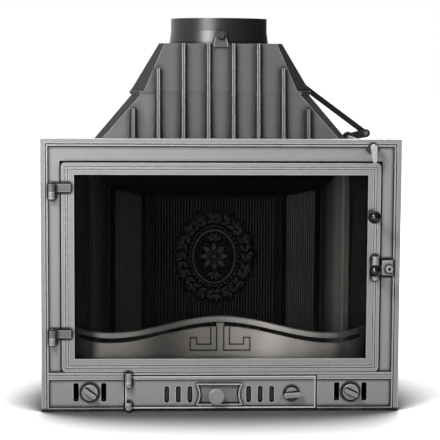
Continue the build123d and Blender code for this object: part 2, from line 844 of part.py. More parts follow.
# Corner liners: fluted plates set across the slanted corners
corner_dx = firebox_back_half - firebox_corner_half
corner_dy = firebox_back_y - firebox_corner_y
corner_length = hypot(corner_dx, corner_dy)
for side, name in ((-1, "left_corner_liner"), (1, "right_corner_liner")):
    with BuildPart() as corner_liner:
        along = (side * corner_dx / corner_length, corner_dy / corner_length)
        inward = (-side * corner_dy / corner_length, corner_dx / corner_length)
        length = corner_length - 2 * corner_trim
        start = corner_trim if side == 1 else corner_length - corner_trim
        origin = (side * firebox_corner_half + start * along[0] + liner_gap * inward[0],
                  firebox_corner_y + start * along[1] + liner_gap * inward[1], hearth_top)
        x_dir = (side * along[0], side * along[1], 0)
        with BuildSketch(Plane(origin=origin, x_dir=x_dir, z_dir=(0, 0, 1))):
            with BuildLine():
                Polyline(*fluted_section(length), close=True)
            make_face()
        extrude(amount=body_top - hearth_top - ledge_wall)
        split(bisect_by=baffle_plane, keep=Keep.BOTTOM)
    corner_liner.part.label = name
    export_step(corner_liner.part, "parts/" + name + ".step")


def oval_spot(half_width, half_height, index, count):
    """Place number index of count on an oval round the middle of the medallion, turned outwards."""
    angle = 360 * index / count
    return Location((half_width * cos(radians(angle)), medallion_z + half_height * sin(radians(angle))), (0, 0, angle))


# Back liner: fluted, with an oval medallion: a rosette in a rim, in a wreath of leaves and lobes
back_liner_half = firebox_back_half - back_liner_gap
liner_face_y = firebox_back_y - liner_gap - liner_wall
with BuildPart() as back_liner:
    with BuildSketch(Plane(origin=(back_liner_half, firebox_back_y - liner_gap, hearth_top),
                           x_dir=(-1, 0, 0), z_dir=(0, 0, 1))):
        with BuildLine():
            Polyline(*fluted_section(2 * back_liner_half), close=True)
        make_face()
    extrude(amount=body_top - hearth_top - ledge_wall)
    split(bisect_by=baffle_plane, keep=Keep.BOTTOM)
    with BuildSketch(front_plane(liner_face_y + flute_depth)):
        with Locations((0, medallion_z)):
            Ellipse(medallion_half_width, medallion_half_height)
        for lobe in range(wreath_lobes):
            with Locations(oval_spot(medallion_half_width - wreath_lobe_inset,
                                     medallion_half_height - wreath_lobe_inset, lobe, wreath_lobes)):
                Circle(wreath_lobe_radius)
    extrude(amount=medallion_wall + flute_depth)
    with BuildSketch(front_plane(liner_face_y - medallion_wall)):
        with Locations((0, medallion_z)):
            Ellipse(oval_half_width + oval_rim, oval_half_height + oval_rim)
            Ellipse(oval_half_width, oval_half_height, mode=Mode.SUBTRACT)
    extrude(amount=oval_rim)
    leaf_ring_half_width = (oval_half_width + oval_rim + medallion_half_width) / 2
    leaf_ring_half_height = (oval_half_height + oval_rim + medallion_half_height) / 2
    with BuildSketch(front_plane(liner_face_y - medallion_wall)):
        for lobe in range(wreath_lobes):
            with Locations(oval_spot(leaf_ring_half_width, leaf_ring_half_height, lobe + 0.5, wreath_lobes)):
                Ellipse(leaf_length / 2, leaf_width / 2)
            with Locations(oval_spot(medallion_half_width - wreath_lobe_inset,
                                     medallion_half_height - wreath_lobe_inset, lobe, wreath_lobes)):
                Circle(wreath_bead_radius)
        for petal in range(petals):
            with Locations(oval_spot(petal_ring_half_width, petal_ring_half_height, petal, petals)):
                Ellipse(petal_length / 2, petal_width / 2)
        with Locations((0, medallion_z)):
            Circle(rosette_radius)
    extrude(amount=leaf_raise)
back_liner.part.label = "back_liner"
export_step(back_liner.part, "parts/back_liner.step")

# Log retainer: waved rail over a plate, joined by a web with a cut Greek key
rail_points = [
    (-retainer_half, retainer_end),
    (-retainer_dip_x, retainer_dip),
    (0, retainer_peak),
    (retainer_dip_x, retainer_dip),
    (retainer_half, retainer_end),
]
knee_x = rail_knee * retainer_dip_x
knee_z = retainer_peak + rail_knee_drop * (retainer_dip - retainer_peak)
slot_far = retainer_half - retainer_slot_end
slot_drop = rail_height - retainer_slot_lap
slot_points = [
    (key_outer, retainer_peak - slot_drop),
    (knee_x, knee_z - slot_drop),
    (retainer_dip_x, retainer_dip - slot_drop),
    (slot_far, retainer_end - slot_drop - retainer_slot_lap),
]
with BuildPart() as log_retainer:
    with BuildSketch(front_plane(retainer_y + retainer_wall)):
        with BuildLine():
            Spline(*rail_points)
            Line((retainer_half, retainer_end), (retainer_half, hearth_top))
            Line((retainer_half, hearth_top), (-retainer_half, hearth_top))
            Line((-retainer_half, hearth_top), (-retainer_half, retainer_end))
        make_face()
        # Slots between the rail and the plate
        for side in (-1, 1):
            with BuildLine():
                top = Spline(*[(side * x, z) for x, z in slot_points])
                low = Spline(*[(side * x, z - retainer_slot) for x, z in reversed(slot_points)])
                Line(top @ 1, low @ 0)
                Line(low @ 1, top @ 0)
            make_face(mode=Mode.SUBTRACT)
    extrude(amount=retainer_wall)
    # The rail stands forward of the plate
    with BuildSketch(front_plane(retainer_y)):
        with BuildLine():
            Spline(*rail_points)
            Spline(*[(x, z - rail_height) for x, z in reversed(rail_points)])
            Line((retainer_half, retainer_end), (retainer_half, retainer_end - rail_height))
            Line((-retainer_half, retainer_end), (-retainer_half, retainer_end - rail_height))
        make_face()
    extrude(amount=rail_front)
    # Greek key
    with BuildSketch(front_plane(retainer_y)):
        for side in (-1, 1):
            with BuildLine():
                Polyline((side * key_outer, key_top), (side * key_outer, key_base), (side * key_far, key_base),
                         (side * key_far, key_hook), (side * key_near, key_hook), (side * key_near, key_low),
                         (side * key_inner, key_low), (side * key_inner, key_top))
            trace(line_width=key_width)
    extrude(amount=-key_depth, mode=Mode.SUBTRACT)
log_retainer.part.label = "log_retainer"
export_step(log_retainer.part, "parts/log_retainer.step")

# Outlines of the shoulder at its foot and at its top; the same edges run parallel, so its faces are flat
shoulder_side_slope = (firebox_corner_half - firebox_side_half) / (firebox_corner_y - firebox_side_y)
shoulder_corner_slope = (firebox_back_half - firebox_corner_half) / (firebox_back_y + shoulder_foot - firebox_corner_y)
shoulder_high_corner_half = shoulder_high_outer + shoulder_side_slope * (shoulder_high_corner - shoulder_high_side)
shoulder_low = mirrored([
    (firebox_side_half + shoulder_foot - shoulder_low_chamfer, shoulder_low_front),
    (firebox_side_half + shoulder_foot, shoulder_low_front + shoulder_low_chamfer),
    (firebox_side_half + shoulder_foot, firebox_side_y),
    (firebox_corner_half + shoulder_foot, firebox_corner_y),
    (firebox_back_half + shoulder_foot, firebox_back_y + shoulder_foot),
])
shoulder_high = mirrored([
    (shoulder_high_half, shoulder_high_front),
    (shoulder_high_outer, shoulder_high_front + shoulder_high_outer - shoulder_high_half),
    (shoulder_high_outer, shoulder_high_side),
    (shoulder_high_corner_half, shoulder_high_corner),
    (shoulder_high_corner_half + shoulder_corner_slope * (shoulder_high_back - shoulder_high_corner),
     shoulder_high_back),
])


def shoulder_plan(z):
    """Outline of the shoulder at height z."""
    share = (z - shoulder_bottom) / (shoulder_top - shoulder_bottom)
    return [(low_x + (high_x - low_x) * share, low_y + (high_y - low_y) * share)
            for (low_x, low_y), (high_x, high_y) in zip(shoulder_low, shoulder_high)]


def hood_plan(z):
    """Outline of the upper hood at height z."""
    share = (z - shoulder_top - ledge_wall) / (hood_top - shoulder_top - ledge_wall)
    low = octagon(hood_low_half, hood_low_outer, hood_low_front, hood_low_back)
    high = octagon(hood_high_half, hood_high_outer, hood_high_front, hood_high_back)
    return [(low_x + (high_x - low_x) * share, low_y + (high_y - low_y) * share)
            for (low_x, low_y), (high_x, high_y) in zip(low, high)]


def rib_section(x, z, face_y):
    """Section of a rib at height z, rooted in the face at depth face_y."""
    share = (z - shoulder_bottom) / (hood_top - shoulder_bottom)
    base = rib_low_width + (rib_high_width - rib_low_width) * share
    if z <= shoulder_top:
        share = (z - shoulder_bottom) / (shoulder_top - shoulder_bottom)
        crest_y = rib_low_front + (rib_middle_front - rib_low_front) * share
    else:
        share = (z - shoulder_top) / (hood_top - shoulder_top)
        crest_y = rib_middle_front + (rib_high_front - rib_middle_front) * share
    root_y = face_y + rib_root
    return [(x - base / 2, root_y), (x - rib_crest / 2, crest_y), (x + rib_crest / 2, crest_y), (x + base / 2, root_y)]


# Shoulder: closes the firebox and carries the bearing of the damper shaft on a gusset
with BuildPart() as shoulder_casing:
    with BuildSketch(Plane.XY.offset(body_top)):
        with BuildLine():
            Polyline(*firebox_plan, close=True)
        make_face()
        offset(amount=wall, kind=Kind.INTERSECTION)
        with Locations((0, well_depth / 2)):
            Rectangle(frame_width, well_depth, mode=Mode.SUBTRACT)
        with BuildLine():
            Polyline((firebox_corner_half, firebox_corner_y + wall), (gusset_half, gusset_front),
                     (gusset_half, gusset_back), (firebox_back_half, gusset_back), close=True)
        make_face()
    extrude(amount=shoulder_bottom - body_top)
    with BuildSketch(Plane.XY.offset(shoulder_bottom)):
        with BuildLine():
            Polyline(*shoulder_low, close=True)
        make_face()
    with BuildSketch(Plane.XY.offset(shoulder_top)):
        with BuildLine():
            Polyline(*shoulder_high, close=True)
        make_face()
    loft(ruled=True)
    # Ribs on the front face
    for index, rib_top in enumerate(rib_tops):
        top_z = min(rib_top, shoulder_top)
        for side in (-1, 1):
            rib_x = side * rib_spacing * (index + 0.5)
            with BuildSketch(Plane.XY.offset(shoulder_bottom)):
                with BuildLine():
                    Polyline(*rib_section(rib_x, shoulder_bottom, shoulder_low_front), close=True)
                make_face()
            with BuildSketch(Plane.XY.offset(top_z)):
                with BuildLine():
                    Polyline(*rib_section(rib_x, top_z, shoulder_plan(top_z)[0][1]), close=True)
                make_face()
            loft(ruled=True)
    # Hollow inside, up to the flange under the hood
    for low_z, high_z in ((body_top, shoulder_bottom), (shoulder_bottom, shoulder_top - ledge_wall)):
        with BuildSketch(Plane.XY.offset(low_z)):
            with BuildLine():
                Polyline(*shoulder_plan(max(low_z, shoulder_bottom)), close=True)
            make_face()
            offset(amount=-wall, kind=Kind.INTERSECTION)
        with BuildSketch(Plane.XY.offset(high_z)):
            with BuildLine():
                Polyline(*shoulder_plan(high_z), close=True)
            make_face()
            offset(amount=-wall, kind=Kind.INTERSECTION)
        loft(ruled=True, mode=Mode.SUBTRACT)
    with BuildSketch(Plane.XY.offset(shoulder_top - ledge_wall)):
        with BuildLine():
            Polyline(*shoulder_high, close=True)
        make_face()
        offset(amount=-throat_inset, kind=Kind.INTERSECTION)
    extrude(amount=ledge_wall, mode=Mode.SUBTRACT)
    with Locations(*[(side * x, y, shoulder_top - ledge_wall)
                     for x, y in (hood_bolt_front, hood_bolt_back) for side in (-1, 1)]):
        rod_up(bolt_radius, ledge_wall, Mode.SUBTRACT)
    with Locations((shaft_x - bearing_bolt_x, bearing_bolt_y, body_top + bolt_floor),
                   (shaft_x + bearing_bolt_x, bearing_bolt_y, body_top + bolt_floor)):
        rod_up(frame_bolt_radius, shoulder_bottom - body_top - bolt_floor, Mode.SUBTRACT)
shoulder_casing.part.label = "shoulder_casing"
export_step(shoulder_casing.part, "parts/shoulder_casing.step")

# Upper hood: ledge, tapering casing with ribs, top plate and the ear that holds the damper spindle
with BuildPart() as hood_casing:
    with BuildSketch(Plane.XY.offset(shoulder_top)):
        with BuildLine():
            Polyline(*octagon(ledge_half, ledge_outer, ledge_front, ledge_back), close=True)
        make_face()
    extrude(amount=ledge_wall)
    with BuildSketch(Plane.XY.offset(shoulder_top + ledge_wall)):
        with BuildLine():
            Polyline(*hood_plan(shoulder_top + ledge_wall), close=True)
        make_face()
    with BuildSketch(Plane.XY.offset(hood_top)):
        with BuildLine():
            Polyline(*hood_plan(hood_top), close=True)
        make_face()
    loft(ruled=True)
    for index, rib_top in enumerate(rib_tops):
        if rib_top > shoulder_top:
            for side in (-1, 1):
                rib_x = side * rib_spacing * (index + 0.5)
                with BuildSketch(Plane.XY.offset(shoulder_top)):
                    with BuildLine():
                        Polyline(*rib_section(rib_x, shoulder_top, hood_low_front), close=True)
                    make_face()
                with BuildSketch(Plane.XY.offset(rib_top)):
                    with BuildLine():
                        Polyline(*rib_section(rib_x, rib_top, hood_plan(rib_top)[0][1]), close=True)
                    make_face()
                loft(ruled=True)
    # Hollow inside
    with BuildSketch(Plane.XY.offset(shoulder_top + ledge_wall)):
        with BuildLine():
            Polyline(*hood_plan(shoulder_top + ledge_wall), close=True)
        make_face()
        offset(amount=-hood_wall, kind=Kind.INTERSECTION)
    with BuildSketch(Plane.XY.offset(hood_top - hood_wall)):
        with BuildLine():
            Polyline(*hood_plan(hood_top - hood_wall), close=True)
        make_face()
        offset(amount=-hood_wall, kind=Kind.INTERSECTION)
    loft(ruled=True, mode=Mode.SUBTRACT)
    with BuildSketch(Plane.XY.offset(shoulder_top)):
        with BuildLine():
            Polyline(*shoulder_high, close=True)
        make_face()
        offset(amount=-throat_inset, kind=Kind.INTERSECTION)
    extrude(amount=ledge_wall, mode=Mode.SUBTRACT)
    with Locations((0, collar_y, hood_top - hood_wall)):
        rod_up(collar_radius - collar_spigot_step, hood_wall, Mode.SUBTRACT)
    # Ear of the damper spindle
    with BuildSketch(front_plane(ear_front + ear_wall)):
        with BuildLine():
            Polyline((-ear_half, hood_top - hood_wall), (ear_half, hood_top - hood_wall), (ear_half, hood_top),
                     (ear_top_radius, spindle_z), (-ear_top_radius, spindle_z), (-ear_half, hood_top), close=True)
        make_face()
        with Locations((0, spindle_z)):
            Circle(ear_top_radius)
    extrude(amount=ear_wall)
    with Locations((0, ear_front, spindle_z)):
        rod_back(spindle_radius + running_gap, ear_wall, Mode.SUBTRACT)
    with Locations(*[(side * x, y, shoulder_top)
                     for x, y in (hood_bolt_front, hood_bolt_back) for side in (-1, 1)]):
        rod_up(bolt_radius, hood_bolt_depth, Mode.SUBTRACT)
    with Locations((-bracket_bolt_x, (bracket_foot_front + bracket_foot_back) / 2, hood_top - hood_wall + bolt_floor),
                   (bracket_bolt_x, (bracket_foot_front + bracket_foot_back) / 2, hood_top - hood_wall + bolt_floor)):
        rod_up(frame_bolt_radius, hood_wall - bolt_floor, Mode.SUBTRACT)
hood_casing.part.label = "hood_casing"
export_step(hood_casing.part, "parts/hood_casing.step")

# Flue collar: spigot in the hood, slightly tapered foot, straight end for the flue pipe
with BuildPart() as flue_collar:
    with Locations((0, collar_y, hood_top)):
        Cone(collar_base_radius, collar_radius, collar_taper_height, align=(Align.CENTER, Align.CENTER, Align.MIN))
    with Locations((0, collar_y, hood_top + collar_taper_height)):
        rod_up(collar_radius, collar_height - collar_taper_height)
    with Locations((0, collar_y, hood_top - hood_wall)):
        rod_up(collar_radius - collar_spigot_step, hood_wall)
        rod_up(collar_radius - collar_wall, hood_wall + collar_height, Mode.SUBTRACT)
    with Locations((0, collar_y - collar_base_radius, spindle_z)):
        rod_back(spindle_radius + running_gap, 2 * collar_base_radius, Mode.SUBTRACT)
flue_collar.part.label = "flue_collar"
export_step(flue_collar.part, "parts/flue_collar.step")

# Bracket that holds the back end of the damper spindle
with BuildPart() as spindle_bracket:
    with BuildSketch(Plane.XY.offset(hood_top)):
        with Locations((0, (bracket_foot_front + bracket_foot_back) / 2)):
            Rectangle(2 * bracket_foot_half, bracket_foot_back - bracket_foot_front)
        with Locations((0, (bracket_foot_back + bearing_front + bracket_wall) / 2)):
            Rectangle(2 * bracket_half, bearing_front + bracket_wall - bracket_foot_back)
        with Locations((-bracket_bolt_x, (bracket_foot_front + bracket_foot_back) / 2),
                       (bracket_bolt_x, (bracket_foot_front + bracket_foot_back) / 2)):
            Circle(frame_bolt_radius, mode=Mode.SUBTRACT)
    extrude(amount=bracket_wall)
    with BuildSketch(front_plane(bearing_front + bracket_wall)):
        with Locations((0, (hood_top + spindle_z) / 2)):
            Rectangle(2 * bracket_half, spindle_z - hood_top)
        with Locations((0, spindle_z)):
            Circle(bracket_eye)
            Circle(spindle_radius + running_gap, mode=Mode.SUBTRACT)
    extrude(amount=bracket_wall)
spindle_bracket.part.label = "spindle_bracket"
export_step(spindle_bracket.part, "parts/spindle_bracket.step")

# Bearing of the damper shaft at the back
with BuildPart() as shaft_bearing:
    with BuildSketch(Plane.XY.offset(shoulder_bottom)):
        with Locations((shaft_x, (bearing_base_front + bearing_front + bearing_depth) / 2)):
            Rectangle(2 * bearing_base_half, bearing_front + bearing_depth - bearing_base_front)
        with Locations((shaft_x - bearing_bolt_x, bearing_bolt_y), (shaft_x + bearing_bolt_x, bearing_bolt_y)):
            Circle(frame_bolt_radius, mode=Mode.SUBTRACT)
    extrude(amount=bearing_base_wall)
    with BuildSketch(front_plane(bearing_front + bearing_depth)):
        with Locations((shaft_x, shoulder_bottom + bearing_base_wall + bearing_web_rise)):
            Rectangle(2 * bearing_boss_radius, 2 * bearing_base_wall)
        with Locations((shaft_x, shaft_z)):
            Circle(bearing_boss_radius)
            Circle(shaft_radius + running_gap, mode=Mode.SUBTRACT)
    extrude(amount=bearing_depth)
shaft_bearing.part.label = "shaft_bearing"
export_step(shaft_bearing.part, "parts/shaft_bearing.step")

# Bolts of the joint flanges at the back, and of the hood on the shoulder
wall_bolt = hex_bolt(bolt_radius, 2 * joint_flange_wall, wall_bolt_head)
hood_bolt = hex_bolt(bolt_radius, ledge_wall + hood_bolt_depth, wall_bolt_head)
with BuildPart() as flange_bolts:
    for side in (-1, 1):
        for bolt_z in wall_bolt_heights:
            bolt_x = side * (firebox_corner_half + wall + joint_flange_reach / 2 + flange_edge)
            bolt_y = firebox_corner_y - joint_flange_wall
            with Locations(Plane(origin=(bolt_x, bolt_y, bolt_z), z_dir=(0, 1, 0))):
                add(wall_bolt)
        for bolt_x, bolt_y in (hood_bolt_front, hood_bolt_back):
            with Locations((side * bolt_x, bolt_y, shoulder_top - ledge_wall)):
                add(hood_bolt)
flange_bolts.part.label = "flange_bolts"
export_step(flange_bolts.part, "parts/flange_bolts.step")

# Smaller bolts: side walls to frame, bracket to hood, bearing to shoulder
frame_bolt = hex_bolt(frame_bolt_radius, joint_flange_wall + frame_bolt_reach, frame_bolt_head)
bracket_bolt = hex_bolt(frame_bolt_radius, bracket_wall + hood_wall - bolt_floor, frame_bolt_head)
bearing_bolt = hex_bolt(frame_bolt_radius, bearing_base_wall + shoulder_bottom - body_top - bolt_floor,
                        frame_bolt_head)
with BuildPart() as small_bolts:
    for side in (-1, 1):
        for bolt_z in frame_bolt_heights:
            bolt_y = well_depth + joint_flange_wall
            with Locations(Plane(origin=(side * (well_half + well_wall / 2), bolt_y, bolt_z), z_dir=(0, -1, 0))):
                add(frame_bolt)
        bolt_y = (bracket_foot_front + bracket_foot_back) / 2
        with Locations(Plane(origin=(side * bracket_bolt_x, bolt_y, hood_top + bracket_wall), z_dir=(0, 0, -1))):
            add(bracket_bolt)
        bolt_z = shoulder_bottom + bearing_base_wall
        with Locations(Plane(origin=(shaft_x + side * bearing_bolt_x, bearing_bolt_y, bolt_z), z_dir=(0, 0, -1))):
            add(bearing_bolt)
small_bolts.part.label = "small_bolts"
export_step(small_bolts.part, "parts/small_bolts.step")

# Keeper of the door latch, with a pocket for the finger
with BuildPart() as latch_keeper:
    keeper_left = well_half + keeper_gap
    with BuildSketch(front_plane(field_front)):
        with Locations((keeper_left + keeper_width / 2, latch_z)):
            RectangleRounded(keeper_width, keeper_height, keeper_corner)
    extrude(amount=field_front - keeper_front)
    chamfer(latch_keeper.faces().sort_by(Axis.Y)[0].edges(), edge_break)
    with BuildSketch(front_plane(field_front)):
        with Locations((keeper_left + keeper_pocket_width / 2 - through, latch_z)):
            Rectangle(keeper_pocket_width + 2 * through, keeper_pocket_height)
    extrude(amount=field_front - keeper_front - keeper_lip, mode=Mode.SUBTRACT)
    with Locations((keeper_bolt_x, keeper_front, keeper_bolt_z)):
        rod_back(bolt_radius, field_front - keeper_front, Mode.SUBTRACT)
latch_keeper.part.label = "latch_keeper"
export_step(latch_keeper.part, "parts/latch_keeper.step")

# Socket-head bolt of the keeper
with BuildPart() as keeper_bolt:
    with Locations((keeper_bolt_x, keeper_front, keeper_bolt_z)):
        rod_back(bolt_radius, field_back - keeper_front)
    with Locations((keeper_bolt_x, keeper_front - keeper_bolt_head_wall, keeper_bolt_z)):
        rod_back(keeper_bolt_head, keeper_bolt_head_wall)
    chamfer(keeper_bolt.faces().sort_by(Axis.Y)[0].edges(), edge_break)
    with BuildSketch(front_plane(keeper_front - keeper_bolt_head_wall)):
        with Locations((keeper_bolt_x, keeper_bolt_z)):
            RegularPolygon(bolt_radius, 6)
    extrude(amount=bolt_floor - keeper_bolt_head_wall, mode=Mode.SUBTRACT)
keeper_bolt.part.label = "keeper_bolt"
export_step(keeper_bolt.part, "parts/keeper_bolt.step")

# Frame half of the hinges: knuckles on blocks beside the main door, lugs above and below the ash door
with BuildPart() as frame_hinge_lugs:
    for joint_z in (upper_hinge_z, lower_hinge_z):
        with Locations((hinge_x, hinge_y, joint_z - frame_knuckle_height)):
            rod_up(knuckle_radius, frame_knuckle_height)
        with BuildSketch(Plane.XY.offset(joint_z - frame_knuckle_height)):
            with Locations((hinge_x + (knuckle_block_right - knuckle_block_left) / 2, (hinge_y + field_front) / 2)):
                Rectangle(knuckle_block_left + knuckle_block_right, field_front - hinge_y)
        extrude(amount=frame_knuckle_height)
        with Locations((hinge_x, hinge_y, joint_z - frame_knuckle_height)):
            rod_up(hinge_pin_radius, frame_knuckle_height, Mode.SUBTRACT)
    for low_z, height, arm_low, arm_high, arm_back in (
        (ash_upper_hinge_z, ash_lug_height, band_top + lug_arm_step, ash_upper_hinge_z + ash_lug_height,
         field_front - bead_height),
        (0, ash_lug_low_height, 0, band_bottom - lug_foot_step, 0),
    ):
        with Locations((ash_hinge_x, ash_hinge_y, low_z)):
            rod_up(ash_knuckle_radius, height)
        with BuildSketch(Plane.XY.offset(arm_low)):
            with Locations((ash_hinge_x, (ash_hinge_y + arm_back) / 2)):
                Rectangle(2 * ash_knuckle_radius - 2, arm_back - ash_hinge_y)
        extrude(amount=arm_high - arm_low)
        with Locations((ash_hinge_x, ash_hinge_y, low_z)):
            rod_up(ash_pin_radius, ash_lug_low_height, Mode.SUBTRACT)
frame_hinge_lugs.part.label = "frame_hinge_lugs"
export_step(frame_hinge_lugs.part, "parts/frame_hinge_lugs.step")

# Pins of both doors
with BuildPart() as hinge_pins:
    for joint_z in (upper_hinge_z, lower_hinge_z):
        with Locations((hinge_x, hinge_y, joint_z - frame_knuckle_height - pin_tail)):
            rod_up(hinge_pin_radius, frame_knuckle_height + door_knuckle_height + hinge_pin_head + pin_tail)
    with Locations((ash_hinge_x, ash_hinge_y, 0),
                   (ash_hinge_x, ash_hinge_y, ash_upper_hinge_z - ash_knuckle_height - pin_tail)):
        rod_up(ash_pin_radius, ash_lug_low_height + ash_knuckle_height + pin_tail)
    chamfer(hinge_pins.faces().filter_by(Axis.Z).edges(), pin_break)
hinge_pins.part.label = "hinge_pins"
export_step(hinge_pins.part, "parts/hinge_pins.step")

# Main door: cast frame with a bead between two grooves, glass recess and rope groove
groove_offset = (stile_bead_width + stile_groove) / 2
with BuildPart() as main_door_frame:
    with BuildSketch(front_plane(door_depth)):
        with Locations((0, door_middle_z)):
            Rectangle(door_width, door_height)
        fillet(vertices().group_by(Axis.Z)[0], door_corner)
    extrude(amount=door_depth)
    with BuildSketch(front_plane(door_depth)):
        with Locations((0, glass_middle_z)):
            Rectangle(2 * glass_recess_half, glass_recess_height)
    extrude(amount=door_depth - door_plate, mode=Mode.SUBTRACT)
    with BuildSketch(front_plane(door_plate)):
        with Locations((0, glass_middle_z)):
            Rectangle(glass_opening_width, glass_opening_height)
    extrude(amount=door_plate, mode=Mode.SUBTRACT)
    # Grooves on the front, one each side of the bead
    with BuildSketch(front_plane(stile_groove_depth)):
        for inset in (stile_bead_inset - groove_offset, stile_bead_inset + groove_offset):
            with Locations((0, door_middle_z)):
                Rectangle(door_width - 2 * inset + stile_groove, door_height - 2 * inset + stile_groove)
                Rectangle(door_width - 2 * inset - stile_groove, door_height - 2 * inset - stile_groove,
                          mode=Mode.SUBTRACT)
    extrude(amount=stile_groove_depth, mode=Mode.SUBTRACT)
    # Rope groove
    with BuildSketch(front_plane(door_depth)):
        with Locations((0, door_middle_z)):
            Rectangle(door_width - 2 * rope_inset, door_height - 2 * rope_inset)
            Rectangle(door_width - 2 * (rope_inset + rope_width), door_height - 2 * (rope_inset + rope_width),
                      mode=Mode.SUBTRACT)
    extrude(amount=rope_groove_depth, mode=Mode.SUBTRACT)
    # Pocket that holds the latch finger while the door is free
    with BuildSketch(front_plane(latch_pocket_depth)):
        with Locations(((glass_recess_half + door_half) / 2, latch_z)):
            Rectangle(door_half - glass_recess_half, latch_finger_height + latch_land_extra)
    extrude(amount=latch_pocket_depth, mode=Mode.SUBTRACT)
    with Locations((pull_x, 0, pull_z)):
        rod_back(pull_stem_radius, door_plate, Mode.SUBTRACT)
    # Screw holes of the glass clips
    land_x = (glass_recess_half + door_half - rope_inset - rope_width) / 2
    land_z = glass_middle_z - glass_recess_height / 2 - (land_x - glass_recess_half)
    clip_places = [(side * land_x, z) for z in clip_heights for side in (-1, 1)]
    clip_places += [(-clip_x, land_z), (clip_x, land_z)]
    for x, z in clip_places:
        with Locations((x, door_depth - clip_screw_depth, z)):
            rod_back(clip_screw_radius, clip_screw_depth, Mode.SUBTRACT)
main_door_frame.part.label = "main_door_frame"
export_step(main_door_frame.part, "parts/main_door_frame.step")

# Flat seal between the door and its glass
with BuildPart() as glass_tape:
    with BuildSketch(front_plane(glass_front)):
        with Locations((0, glass_middle_z)):
            Rectangle(glass_opening_width + 2 * glass_overlap, glass_opening_height + 2 * glass_overlap)
            Rectangle(glass_opening_width + 2 * tape_reveal, glass_opening_height + 2 * tape_reveal, mode=Mode.SUBTRACT)
    extrude(amount=tape_wall)
glass_tape.part.label = "glass_tape"
export_step(glass_tape.part, "parts/glass_tape.step")

with BuildPart() as door_glass:
    with BuildSketch(front_plane(glass_back)):
        with Locations((0, glass_middle_z)):
            Rectangle(glass_opening_width + 2 * glass_overlap, glass_opening_height + 2 * glass_overlap)
    extrude(amount=glass_wall)
door_glass.part.label = "door_glass"
export_step(door_glass.part, "parts/door_glass.step")

# Stepped clips that press the glass forward; drawn for a place on the right stile, then placed
clip_land = door_half - rope_inset - rope_width - glass_recess_half
clip_profile = [
    (-glass_play - clip_reach, glass_back), (0, glass_back), (0, door_depth), (clip_land, door_depth),
    (clip_land, door_depth + clip_wall), (-clip_wall, door_depth + clip_wall), (-clip_wall, glass_back + clip_wall),
    (-glass_play - clip_reach, glass_back + clip_wall),
]
with BuildPart() as clip_model:
    with BuildSketch(Plane.XY):
        with BuildLine():
            Polyline(*clip_profile, close=True)
        make_face()
    extrude(amount=clip_height / 2, both=True)
    with Locations((clip_land / 2, door_depth, 0)):
        rod_back(clip_screw_radius, clip_wall, Mode.SUBTRACT)
clip_spots = [Location((side * glass_recess_half, 0, z), (0, 90 - 90 * side, 0)) for z in clip_heights
              for side in (-1, 1)]
clip_spots += [Location((x, 0, glass_middle_z - glass_recess_height / 2), (0, 90, 0)) for x in (-clip_x, clip_x)]
with BuildPart() as glass_clips:
    for spot in clip_spots:
        add(clip_model.part.moved(spot))
glass_clips.part.label = "glass_clips"
export_step(glass_clips.part, "parts/glass_clips.step")

with BuildPart() as clip_screws:
    for x, z in clip_places:
        with Locations((x, door_depth - clip_screw_depth, z)):
            rod_back(clip_screw_radius, clip_screw_depth + clip_wall)
        with Locations((x, door_depth + clip_wall, z)):
            rod_back(clip_screw_head, clip_screw_head_height)
clip_screws.part.label = "clip_screws"
export_step(clip_screws.part, "parts/clip_screws.step")

# Rope seal in its groove
with BuildPart() as door_rope:
    with BuildSketch(front_plane(stop_front - seat_gap)):
        with Locations((0, door_middle_z)):
            Rectangle(door_width - 2 * (rope_inset + rope_play), door_height - 2 * (rope_inset + rope_play))
            Rectangle(door_width - 2 * (rope_inset + rope_width - rope_play),
                      door_height - 2 * (rope_inset + rope_width - rope_play), mode=Mode.SUBTRACT)
    extrude(amount=stop_front - seat_gap - door_depth + rope_groove_depth)
    chamfer(door_rope.faces().sort_by(Axis.Y)[-1].edges(), rope_chamfer)
door_rope.part.label = "door_rope"
export_step(door_rope.part, "parts/door_rope.step")

# Door half of the main hinges
with BuildPart() as door_hinge_leaves:
    for joint_z in (upper_hinge_z, lower_hinge_z):
        with Locations((hinge_x, hinge_y, joint_z + seat_gap)):
            rod_up(knuckle_radius, door_knuckle_height)
        with BuildSketch(Plane.XY.offset(joint_z + seat_gap)):
            with BuildLine():
                Polyline((hinge_x - knuckle_block_left, hinge_y), (hinge_x - knuckle_block_left, -leaf_gap),
                         (-door_half, -leaf_gap), (-door_half, 0), (leaf_end_x, 0), (leaf_end_x, -leaf_wall),
                         (hinge_x + knuckle_block_right + leaf_root, -leaf_wall), (hinge_x + knuckle_block_right, hinge_y),
                         close=True)
            make_face()
        extrude(amount=door_knuckle_height)
        with Locations((hinge_x, hinge_y, joint_z + seat_gap)):
            rod_up(hinge_pin_radius + running_gap, door_knuckle_height, Mode.SUBTRACT)
door_hinge_leaves.part.label = "door_hinge_leaves"
export_step(door_hinge_leaves.part, "parts/door_hinge_leaves.step")

# Barrels above and below the latch lever, and the pin through them
with BuildPart() as latch_lugs:
    for low_z in (latch_z - latch_hub_height / 2 - seat_gap - latch_lug_height,
                  latch_z + latch_hub_height / 2 + seat_gap):
        with Locations((latch_x, latch_y, low_z)):
            rod_up(latch_barrel_radius, latch_lug_height)
        with BuildSketch(Plane.XY.offset(low_z)):
            with Locations((latch_x, latch_y / 2)):
                Rectangle(2 * latch_foot_half, -latch_y)
        extrude(amount=latch_lug_height)
        with Locations((latch_x, latch_y, low_z)):
            rod_up(latch_pin_radius, latch_lug_height, Mode.SUBTRACT)
latch_lugs.part.label = "latch_lugs"
export_step(latch_lugs.part, "parts/latch_lugs.step")

